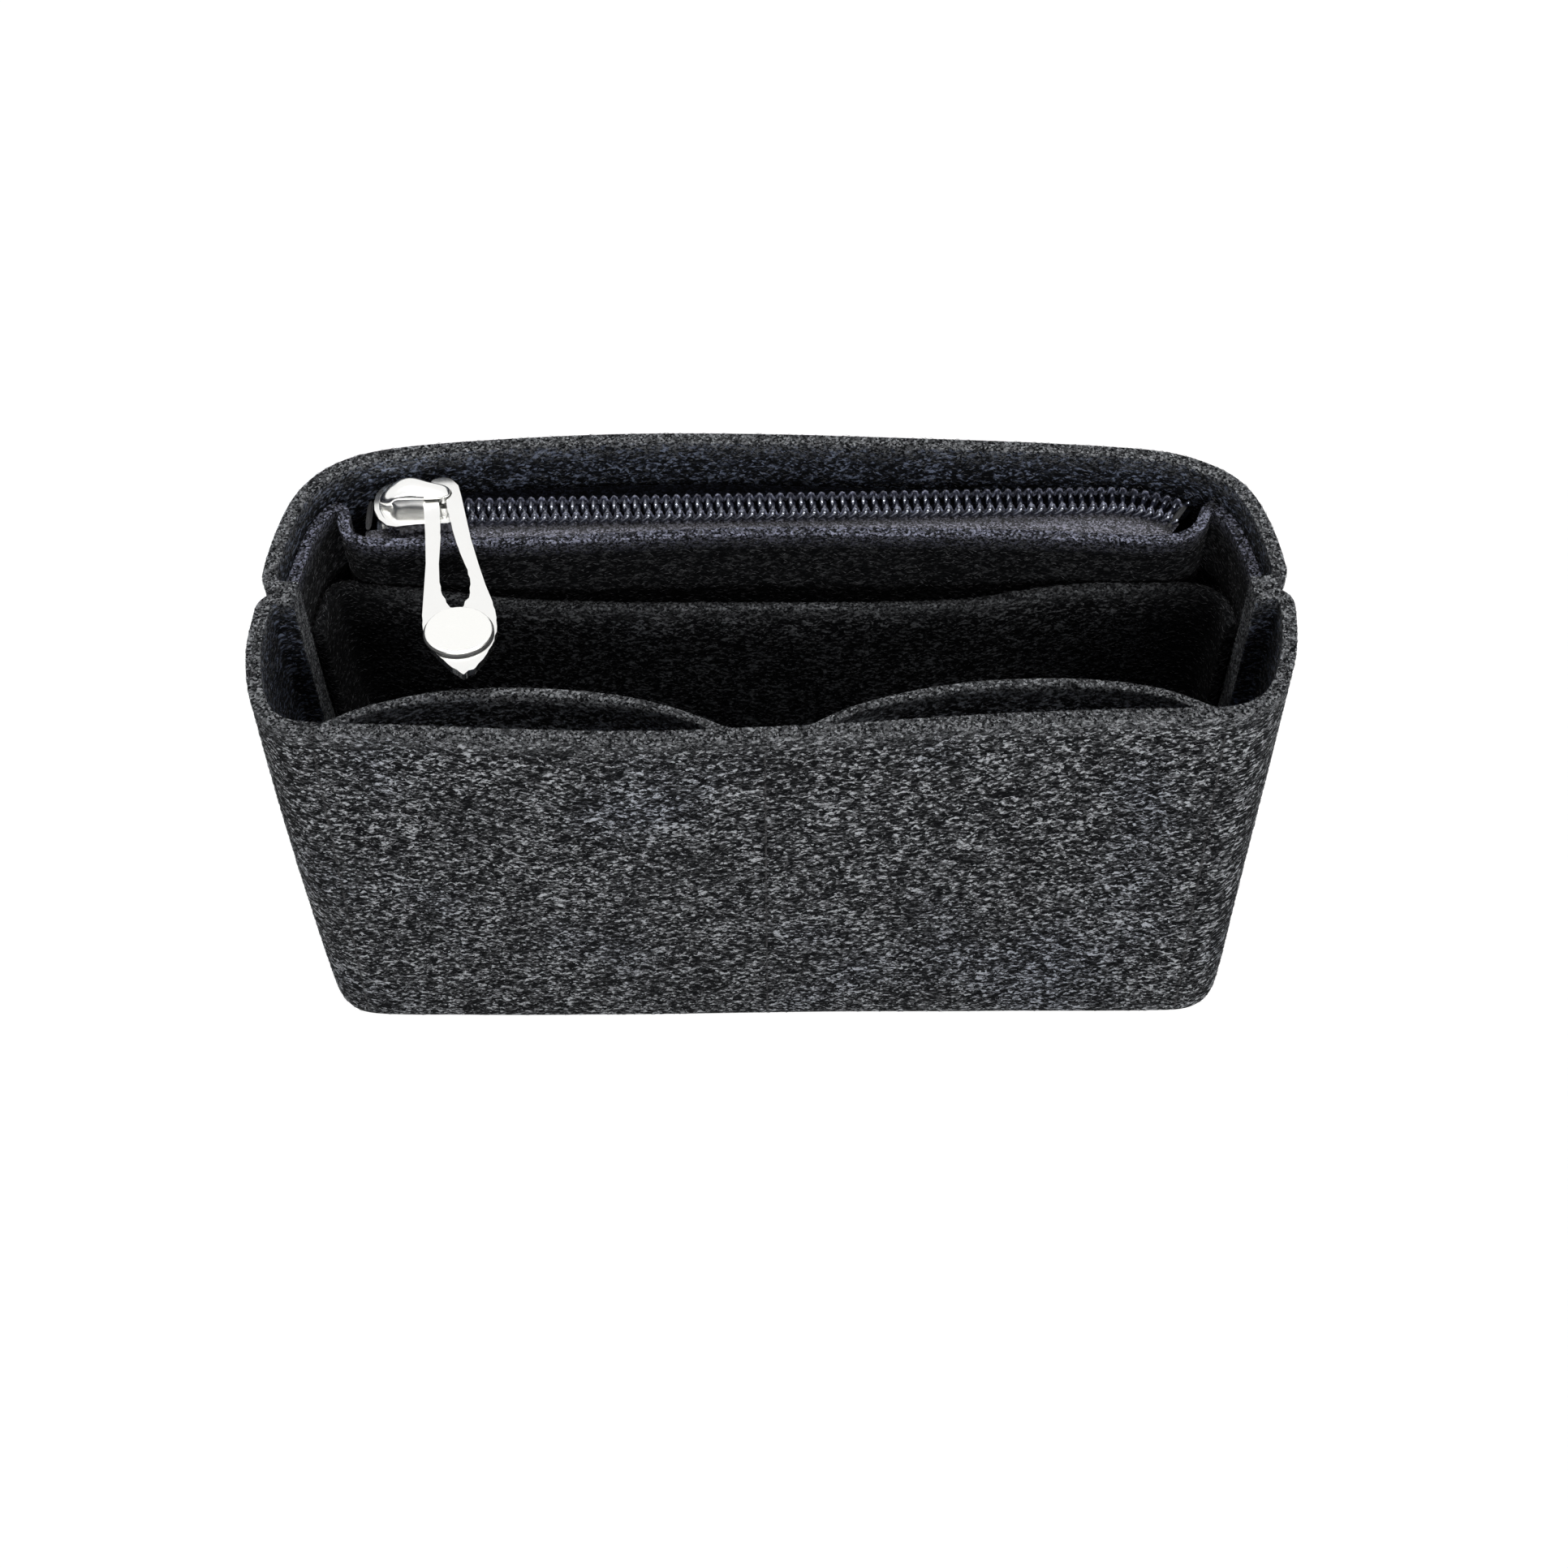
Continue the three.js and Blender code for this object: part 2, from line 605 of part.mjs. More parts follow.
const zipPanelPlan = (z) =>
  clearOfFins(panelPlan(lipFootShares, lipShares, LIP_TOP, 1, PANEL_FULLNESS, z), z);
const slipPanelPlan = (z) => {
  const path = panelPlan(slipFootShares, slipShares, SLIP_TOP, 2, POCKET_FULLNESS, z);
  const zipPanelFront = offset(zipPanelPlan(z).reverse(), PANEL_FELT, false);
  return clearOfFins(keptOff(path, zipPanelFront, false, PANEL_GAP), z);
};
const pocketPanelPlan = (z) =>
  panelPlan(pocketFootShares, pocketShares, POCKET_TOP, 1, POCKET_FULLNESS, z);

const riserShares = [0.18, 0.4, 0.68, 1];

// Heights of a panel's rows: its foot, the ramp over the tray, then the rise to its top
function panelLevels(top) {
  const rampStart = TRAY_RIM_HEIGHT + SEAM_GAP;
  const rampEnd = rampStart + PANEL_RAMP;
  const rise = riserShares.map((share) => rampEnd + (top - rampEnd) * share);
  return [FELT + SEAM_GAP, rampStart, rampEnd, ...rise];
}

function rearPanel(name, planAt, top) {
  const sheet = standingSheet((z) => planAt(z).reverse(), panelLevels(top), PANEL_FELT);
  return part(name, sheet, INNER_FELT_COLOR);
}

function frontPocket() {
  const sheet = standingSheet(pocketPanelPlan, panelLevels(POCKET_TOP), PANEL_FELT);
  return part("front_pocket_panel", sheet, INNER_FELT_COLOR);
}

// Inner face of the walls as an open path along the rear
function wallInnerPath(z) {
  const inner = offset(wallCurve(z), FELT, true);
  return [...inner.slice(rightSeam), inner[0]];
}

// Distance from a plan point along a direction to a path
function reach(origin, direction, path) {
  let best = Infinity;
  for (let i = 0; i < path.length - 1; i += 1) {
    const [ax, ay] = path[i];
    const [bx, by] = path[i + 1];
    const ex = bx - ax;
    const ey = by - ay;
    const det = direction[0] * ey - direction[1] * ex;
    if (det !== 0) {
      const t = ((ax - origin[0]) * ey - (ay - origin[1]) * ex) / det;
      const s = ((ax - origin[0]) * direction[1] - (ay - origin[1]) * direction[0]) / det;
      if (t > 0 && s >= 0 && s <= 1) best = Math.min(best, t);
    }
  }
  return best;
}

// Zip frame: x along the chain to the right, y to the rear wall, z off the tapes

const zipStart = zipStartShare * RIM_WIDTH;
const lipDepth = reach([zipStart, 0], [0, 1], zipPanelPlan(ZIP_PLANE));
const wallDepth = reach([zipStart, 0], [0, 1], wallInnerPath(ZIP_PLANE));
const zipDepth = lipDepth + (wallDepth - lipDepth) * zipRoomShare;

const zip = new THREE.Group();
zip.position.set(zipStart, zipDepth, ZIP_PLANE);
zip.rotation.set(-rad(ZIP_TILT_DEG), 0, rad(ZIP_SLEW_DEG), "ZYX");
zip.updateMatrixWorld(true);

const CHAIN_END = chainShare * RIM_WIDTH;
const CHAIN_STRAIGHT = CHAIN_END - CHAIN_END_RADIUS * rad(CHAIN_END_DEG);
const NOSE = -SLIDER_LENGTH / 2;
const CHAIN_START = NOSE + SLIDER_PLATE;

// The chain runs straight, then bends towards the front at its right end
function onChain([x, y]) {
  if (x <= CHAIN_STRAIGHT) return [x, y];
  const angle = (x - CHAIN_STRAIGHT) / CHAIN_END_RADIUS;
  const radius = CHAIN_END_RADIUS + y;
  return [
    CHAIN_STRAIGHT + radius * Math.sin(angle),
    radius * Math.cos(angle) - CHAIN_END_RADIUS,
  ];
}

// How far each half of the chain is parted, from the slider's middle to its nose
function split(x) {
  const reached = (CHAIN_SPLIT_START - x) / CHAIN_SPLIT_LENGTH;
  return CHAIN_SPLIT * THREE.MathUtils.smoothstep(reached, 0, 1);
}

// Outer edge of a coil half, with stations where the chain parts and where it bends
function coilEdge() {
  const stations = [];
  for (let x = CHAIN_START; x < CHAIN_SPLIT_START + ZIP_PITCH; x += ZIP_PITCH) {
    stations.push(x);
  }
  stations.push(CHAIN_STRAIGHT / 2);
  for (let i = 0; i <= CHAIN_END_STEPS; i += 1) {
    stations.push(CHAIN_STRAIGHT + ((CHAIN_END - CHAIN_STRAIGHT) * i) / CHAIN_END_STEPS);
  }
  return stations.map((x) => [x, COIL_EDGE + split(x)]);
}

// Inner edge of a coil half, with its teeth; the other half's stand half a pitch on
function coilTeeth(side) {
  const root = COIL_EDGE - COIL_SPINE;
  const first = CHAIN_START + (side > 0 ? ZIP_PITCH / 2 : ZIP_PITCH);
  const points = [[CHAIN_START, root + split(CHAIN_START)]];
  for (let x = first; x + TOOTH_WIDTH < CHAIN_END; x += ZIP_PITCH) {
    const left = x - TOOTH_WIDTH / 2;
    const right = x + TOOTH_WIDTH / 2;
    points.push([left, root + split(left)], [left, split(x) - TOOTH_TIP]);
    points.push([right, split(x) - TOOTH_TIP], [right, root + split(right)]);
  }
  return [...points, [CHAIN_END, root]];
}

// Half of the coil: one edge band with interlocking teeth
function coilComb(name, side) {
  const outline = [...coilTeeth(side), ...coilEdge().reverse()];
  const path = outline.map(([x, y]) => onChain([x, y * side]));
  const bottom = TAPE / 2 + COIL_LIFT;
  return part(name, extruded(path, bottom, bottom + COIL_HEIGHT), COIL_COLOR, 0.35);
}

// Tape: flat beside the chain, then turned down along the felt that it is sewn to.
// Its sections stand closer at the left, where the chain parts and the felt curves.
const evenStepShare = 0.4;
const flatRowShare = 0.75;
const legShares = [0.5, 1];

function zipTape(name, side, feltPathAt) {
  const start = NOSE - END_GAP - TACK_LENGTH;
  const end = CHAIN_END + END_GAP + TACK_LENGTH + END_GAP;
  const sections = [];
  for (let i = 0; i <= TAPE_STEPS; i += 1) {
    const even = i / TAPE_STEPS;
    const spread = even * (evenStepShare + (1 - evenStepShare) * even);
    const x = start + (end - start) * spread;
    const world = (y, z) => {
      const [px, py] = onChain([x, y * side]);
      return zip.localToWorld(new THREE.Vector3(px, py, z));
    };
    const centre = world(0, 0);
    const away = world(1, 0).sub(centre);
    const flat = [away.x, away.y];
    const length = Math.hypot(flat[0], flat[1]);
    const toFelt = (z) => {
      const path = feltPathAt(z);
      const hit = reach([centre.x, centre.y], flat, path);
      return hit * length - PANEL_GAP - TAPE / 2;
    };
    const slope = away.z / length;
    const far = toFelt(centre.z);
    const row = [world(TAPE_SLIT / 2 + split(x), 0)];
    const onPlan = (distance, z) =>
      new THREE.Vector3(
        centre.x + (flat[0] / length) * distance,
        centre.y + (flat[1] / length) * distance,
        z,
      );
    const turn = far - TAPE_BEND;
    const turnHeight = centre.z + slope * turn;
    const flatRow = turn * flatRowShare;
    row.push(onPlan(flatRow, centre.z + slope * flatRow));
    for (let k = 0; k <= TAPE_BEND_STEPS; k += 1) {
      const angle = (Math.PI / 2) * (k / TAPE_BEND_STEPS);
      const out = turn + TAPE_BEND * Math.sin(angle);
      row.push(onPlan(out, turnHeight - TAPE_BEND * (1 - Math.cos(angle))));
    }
    for (const share of legShares) {
      const z = turnHeight - TAPE_BEND - TAPE_LEG * share;
      row.push(onPlan(toFelt(z), z));
    }
    sections.push(row);
  }
  return part(name, thickened(sections, TAPE), TAPE_COLOR, 0.8);
}

// Gives a grid of points a thickness, half to each side
function thickened(grid, thickness) {
  const rows = grid.length;
  const columns = grid[0].length;
  const faces = [1, -1].map((sign) =>
    grid.map((row, i) =>
      row.map((point, j) => {
        const along = grid[Math.min(i + 1, rows - 1)][j]
          .clone()
          .sub(grid[Math.max(i - 1, 0)][j]);
        const across = row[Math.min(j + 1, columns - 1)]
          .clone()
          .sub(row[Math.max(j - 1, 0)]);
        const normal = along.cross(across).normalize();
        return point
          .clone()
          .addScaledVector(normal, (sign * thickness) / 2)
          .toArray();
      }),
    ),
  );
  return closedSheet(faces[0], faces[1]);
}

// Bar tack across both tapes, which stops the slider
function endTack(name, middle) {
  const [x, y] = onChain([middle, 0]);
  const bottom = TAPE / 2 + COIL_LIFT;
  const geometry = new THREE.BoxGeometry(TACK_LENGTH, TACK_SPAN, TACK_HEIGHT);
  const mesh = part(name, geometry, TAPE_COLOR, 0.8);
  mesh.position.set(x, y, bottom + TACK_HEIGHT / 2);
  const beyond = Math.max(middle - CHAIN_STRAIGHT, 0);
  mesh.rotation.z = -beyond / CHAIN_END_RADIUS;
  return mesh;
}

// Slider: two plates joined by a wedge at the nose, with side flanges at the tail
const plateShares = [
  [-1, 0],
  [-0.966, 0.4],
  [-0.83, 0.76],
  [-0.61, 0.965],
  [-0.373, 1],
  [-0.136, 0.944],
  [0.17, 0.89],
  [0.51, 0.876],
  [0.88, 0.865],
  [1, 0.764],
  [1, 0],
];
const wedgeShares = [
  [-0.915, 0],
  [-0.85, 0.2],
  [-0.73, 0.17],
  [-0.54, 0.08],
  [-0.39, 0],
];
const flangeStartShare = -0.34;
const flangeBendShare = 0.17;
const flangeFlareShare = 0.146;

const coilTop = TAPE / 2 + COIL_LIFT + COIL_HEIGHT;
const plateBottom = coilTop + PLATE_LIFT;
const plateTop = plateBottom + SLIDER_PLATE;

const scaledToSlider = (shares) =>
  shares.map(([x, y]) => [(x * SLIDER_LENGTH) / 2, y * SLIDER_HALF_WIDTH]);

// Flange along one side of the slider: straight at the tail and flared towards the nose
function sliderFlange(side, bottom, top) {
  const half = SLIDER_LENGTH / 2;
  const inner = COIL_EDGE + SLIDER_FLANGE;
  const flared = inner + SLIDER_HALF_WIDTH * flangeFlareShare;
  const line = [
    [flangeStartShare * half, flared],
    [flangeBendShare * half, inner],
    [half, inner],
  ];
  const outer = line.map(([x, y]) => [x, y + SLIDER_FLANGE]).reverse();
  const outline = [...line, ...outer].map(([x, y]) => [x, y * side]);
  return extruded(outline, bottom, top);
}

function sliderBody() {
  const plate = mirrored(scaledToSlider(plateShares));
  const wedge = mirrored(scaledToSlider(wedgeShares));
  const lowTop = SLIDER_PLATE - SLIDER_DROP;
  const sunk = SLIDER_PLATE / 2;
  const flangeBottom = TAPE / 2 + PLATE_LIFT;
  const geometry = joined(
    extruded(plate, plateBottom, plateTop),
    extruded(plate, -SLIDER_DROP, lowTop),
    extruded(wedge, lowTop - sunk, plateBottom + sunk),
    sliderFlange(1, flangeBottom, plateBottom + sunk),
    sliderFlange(-1, flangeBottom, plateBottom + sunk),
  );
  return part("slider_body", geometry, NICKEL_COLOR, 0.2, 1);
}

const pivotX = POST_SHARE * SLIDER_LENGTH;
const pullBottom = plateTop + HARD_GAP;
const pullTop = pullBottom + PULL_SHEET;

// Crown: an arched bridge on a round post and a wide foot, which holds the pull's eye
const crownCentreShare = 0.055;
const footShare = 0.8;
const crownFullnessShare = 0.6;

// Side view of the crown's arch, with its flat underside at the given height
function crownProfile(centre, low) {
  const half = CROWN_LENGTH / 2;
  const rise = CROWN_CREST - low;
  const points = [];
  for (let i = 0; i <= CROWN_STEPS; i += 1) {
    const angle = Math.PI * (1 - i / CROWN_STEPS);
    const height = Math.sin(angle) ** crownFullnessShare;
    points.push([centre + half * Math.cos(angle), low + rise * height]);
  }
  return points;
}

function sliderCrown() {
  const centre = crownCentreShare * SLIDER_LENGTH;
  const low = pullTop + HARD_GAP;
  const arch = extruded(crownProfile(centre, low), 0, CROWN_WIDTH);
  arch.rotateX(Math.PI / 2);
  arch.translate(0, CROWN_WIDTH / 2, 0);
  const legBottom = plateTop + HARD_GAP;
  const legHeight = low + CROWN_SHEET / 2 - legBottom;
  const legMiddle = legBottom + legHeight / 2;
  const width = POST_RADIUS * 2;
  const foot = new THREE.BoxGeometry(width, CROWN_WIDTH * footShare, legHeight);
  foot.translate(centre - CROWN_LENGTH / 2 + width, 0, legMiddle);
  const post = new THREE.CylinderGeometry(POST_RADIUS, POST_RADIUS, legHeight, ARC_STEPS);
  post.rotateX(Math.PI / 2);
  post.translate(pivotX, 0, legMiddle);
  return part("slider_crown", joined(arch, foot, post), NICKEL_COLOR, 0.2, 1);
}

// Pull: a tapered loop whose round eye opens into its slot
function pullPlate() {
  const outline = placed(pullShares, PULL_LENGTH, PULL_LENGTH);
  const eye = arcPoints([0, 0], PULL_EYE_RADIUS, rad(-60), rad(240), EYE_STEPS);
  const slot = placed(slotShares, PULL_LENGTH, PULL_LENGTH);
  const mesh = part(
    "pull",
    extruded(outline, pullBottom, pullTop, [[...eye, ...slot]]),
    NICKEL_COLOR,
    0.2,
    1,
  );
  mesh.position.x = pivotX;
  return mesh;
}

function pullDisc() {
  const [x, y] = discShare;
  const geometry = new THREE.LatheGeometry(
    [
      [0, 0],
      [DISC_RADIUS, 0],
      [DISC_RADIUS, DISC_SHEET - DISC_EDGE],
      [DISC_RADIUS - DISC_EDGE, DISC_SHEET],
      [0, DISC_SHEET],
    ].map(([r, h]) => new THREE.Vector2(r, h)),
    DISC_STEPS,
  );
  geometry.rotateX(Math.PI / 2);
  const mesh = part("pull_disc", geometry, NICKEL_COLOR, 0.25, 1);
  mesh.position.set(pivotX + x * PULL_LENGTH, y * PULL_LENGTH, pullTop + HARD_GAP);
  return mesh;
}

const group = new THREE.Group();
group.name = "purse_organizer_insert";
group.add(wallShell("front_shell", leftSeam, rightSeam));
group.add(wallShell("back_shell", rightSeam, leftSeam));
group.add(basePanel());
group.add(frontPocket());
group.add(rearPanel("rear_slip_pocket", slipPanelPlan, SLIP_TOP));
group.add(rearPanel("zip_pocket_panel", zipPanelPlan, LIP_TOP));

group.add(zipTape("zip_tape_back", 1, wallInnerPath));
group.add(zipTape("zip_tape_front", -1, zipPanelPlan));
zip.add(coilComb("coil_back", 1));
zip.add(coilComb("coil_front", -1));
zip.add(endTack("end_tack_left", NOSE - END_GAP - TACK_LENGTH / 2));
zip.add(endTack("end_tack_right", CHAIN_END + END_GAP + TACK_LENGTH / 2));
zip.add(sliderBody(), sliderCrown(), pullPlate(), pullDisc());
group.add(zip);

export default group;
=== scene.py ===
"""Dresses the felt purse organizer insert: heather felt walls, sewn panels, coil zip and nickel pull."""

from __future__ import annotations

import json
import logging
import math
from dataclasses import dataclass, field
from enum import Enum
from typing import Any, Callable, Iterable, Optional, Sequence

import bmesh
import bpy
from bmesh.types import BMEdge, BMesh, BMFace, BMVert
from bpy.types import Material, Mesh, Node, NodeSocket, NodeTree, Object
from mathutils import Matrix, Vector
from mathutils.bvhtree import BVHTree

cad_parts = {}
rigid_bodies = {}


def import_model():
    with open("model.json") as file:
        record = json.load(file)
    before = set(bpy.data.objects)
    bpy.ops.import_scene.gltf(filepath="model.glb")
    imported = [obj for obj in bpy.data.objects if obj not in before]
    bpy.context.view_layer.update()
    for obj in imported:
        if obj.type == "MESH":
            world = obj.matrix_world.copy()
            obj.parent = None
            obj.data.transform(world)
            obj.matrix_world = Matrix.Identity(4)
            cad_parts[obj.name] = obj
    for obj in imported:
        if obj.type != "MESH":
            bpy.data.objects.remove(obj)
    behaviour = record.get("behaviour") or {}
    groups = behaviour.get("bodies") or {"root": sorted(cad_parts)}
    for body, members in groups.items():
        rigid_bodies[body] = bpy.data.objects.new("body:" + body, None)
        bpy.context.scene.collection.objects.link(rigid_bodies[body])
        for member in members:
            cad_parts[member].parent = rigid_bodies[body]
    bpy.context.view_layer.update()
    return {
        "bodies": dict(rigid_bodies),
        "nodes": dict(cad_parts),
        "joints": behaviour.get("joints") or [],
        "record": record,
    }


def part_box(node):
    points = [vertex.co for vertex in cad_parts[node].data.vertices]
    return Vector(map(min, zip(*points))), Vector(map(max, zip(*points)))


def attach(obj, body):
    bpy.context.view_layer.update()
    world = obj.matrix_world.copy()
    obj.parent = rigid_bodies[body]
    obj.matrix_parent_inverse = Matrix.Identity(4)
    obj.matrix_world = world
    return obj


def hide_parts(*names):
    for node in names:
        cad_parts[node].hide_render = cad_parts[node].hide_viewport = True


LOG = logging.getLogger("purse_organizer_insert")

MM = 0.001
PER_METRE = 1000.0
FULL_TURN = 2.0 * math.pi
WELD = 2e-6

Point = tuple[float, float, float]
Colour = tuple[float, float, float]
WHITE = (1.0, 1.0, 1.0, 1.0)


class Body(Enum):
    """The moving bodies of the frame that a piece can ride on."""

    INSERT = "insert"
    SLIDER = "slider"
    PULL = "pull"


class Side(Enum):
    """The two halves of the zip, by the wall that each is sewn to."""

    REAR = 1
    FRONT = -1


# Small helpers


def new_object(name: str, mesh: Mesh) -> Object:
    """Link a mesh to the scene as an object at the origin.

    Args:
        name: The piece's name.
        mesh: The mesh that it shows.

    Returns:
        The new object.
    """
    obj = bpy.data.objects.new(name, mesh)
    bpy.context.scene.collection.objects.link(obj)
    return obj


def mesh_object(name: str, bm: BMesh) -> Object:
    """Make an object of a bmesh, which is freed.

    Args:
        name: The name of the object and of its mesh.
        bm: The shape.

    Returns:
        The new object.
    """
    mesh = bpy.data.meshes.new(name)
    bm.to_mesh(mesh)
    bm.free()
    return new_object(name, mesh)


def baked(obj: Object) -> Object:
    """Turn an object's modifiers into plain mesh data.

    Args:
        obj: The object whose modifiers are applied and removed.

    Returns:
        The same object with its evaluated mesh.
    """
    bpy.context.view_layer.update()
    graph = bpy.context.evaluated_depsgraph_get()
    mesh = bpy.data.meshes.new_from_object(obj.evaluated_get(graph), depsgraph=graph)
    mesh.name = obj.name
    obj.modifiers.clear()
    obj.data = mesh
    return obj


def shade_smooth(mesh: Mesh) -> None:
    """Smooth every face of a mesh."""
    mesh.polygons.foreach_set("use_smooth", [True] * len(mesh.polygons))
    mesh.update()


def refine(obj: Object, levels: int) -> None:
    """Subdivide an object's mesh for good and smooth its shading.

    Args:
        obj: The object.
        levels: How often its faces are divided.
    """
    finer = obj.modifiers.new("finer", "SUBSURF")
    finer.levels = levels
    finer.render_levels = levels
    shade_smooth(baked(obj).data)


def cover(obj: Object, *materials: Material) -> None:
    """Give an object these materials alone."""
    obj.data.materials.clear()
    for material in materials:
        obj.data.materials.append(material)


def fit(obj: Object, body: Body, node: Optional[str] = None) -> Object:
    """Have a finished piece ride on its body, and replace a node if it stands for one.

    Args:
        obj: The piece.
        body: The body that it moves with.
        node: The CAD node that it stands for.

    Returns:
        The same piece.
    """
    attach(obj, body.value)
    if node is not None:
        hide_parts(node)
    LOG.info("%s: %d faces", obj.name, len(obj.data.polygons))
    return obj


def merged_mesh(node: Object) -> BMesh:
    """Copy a frame node's mesh with its doubled corners merged.

    Args:
        node: A node of the frame.

    Returns:
        A new bmesh, which the caller frees.
    """
    bm = bmesh.new()
    bm.from_mesh(node.data)
    bmesh.ops.remove_doubles(bm, verts=bm.verts, dist=WELD)
    bmesh.ops.dissolve_degenerate(bm, edges=bm.edges, dist=WELD)
    return bm


def join_quads(bm: BMesh, most: float) -> None:
    """Join a mesh's triangles to quads where they fold by less than so many degrees."""
    flat, shape = math.radians(most), math.radians(60.0)
    bmesh.ops.join_triangles(bm, faces=bm.faces, angle_face_threshold=flat, angle_shape_threshold=shape)


def folds(bm: BMesh, over: float, under: float = math.inf) -> list[BMEdge]:
    """The edges where a mesh folds by more than one angle and less than another, in degrees."""
    low, high = math.radians(over), math.radians(under)
    return [e for e in bm.edges if len(e.link_faces) == 2 and low < e.calc_face_angle() < high]


def shrink(bm: BMesh, depth: float, from_above: bool) -> None:
    """Draw a mesh's surface inwards.

    Args:
        bm: The mesh.
        depth: How far.
        from_above: Whether the corners that look up sink too.
    """
    bm.normal_update()
    for vert, out in [(vert, vert.normal.copy()) for vert in bm.verts]:
        if not from_above:
            out.z = min(out.z, 0.0)
        vert.co -= out * depth


def bridge(bm: BMesh, rings: Sequence[Sequence[BMVert]]) -> None:
    """Join closed rings of corners by bands of quads.

    Args:
        bm: The mesh.
        rings: The rings in order, each of as many corners.
    """
    for before, after in zip(rings, rings[1:]):
        for k in range(len(before)):
            n = (k + 1) % len(before)
            bm.faces.new((before[k], before[n], after[n], after[k]))


def circle(sides: int) -> list[tuple[float, float]]:
    """Cosine and sine at even steps round a circle."""
    turns = [FULL_TURN * k / sides for k in range(sides)]
    return [(math.cos(turn), math.sin(turn)) for turn in turns]


def tube_object(name: str, path: Sequence[Vector], radius: float, sides: int) -> Object:
    """Build a closed tube along a path.

    Args:
        name: The object's name.
        path: Points along the middle of the tube, in metres.
        radius: Radius of the tube.
        sides: Number of sides round it.

    Returns:
        The tube with both ends capped.
    """
    bm = bmesh.new()
    rings = []
    side = Vector((0.0, 0.0, 1.0))
    for i, point in enumerate(path):
        along = (path[min(i + 1, len(path) - 1)] - path[max(i - 1, 0)]).normalized()
        side = (side - along * side.dot(along)).normalized()
        other = along.cross(side)
        rings.append([bm.verts.new(point + (side * c + other * s) * radius) for c, s in circle(sides)])
    bridge(bm, rings)
    bm.faces.new(list(reversed(rings[0])))
    bm.faces.new(rings[-1])
    bmesh.ops.recalc_face_normals(bm, faces=bm.faces)
    obj = mesh_object(name, bm)
    shade_smooth(obj.data)
    return obj


# Node trees


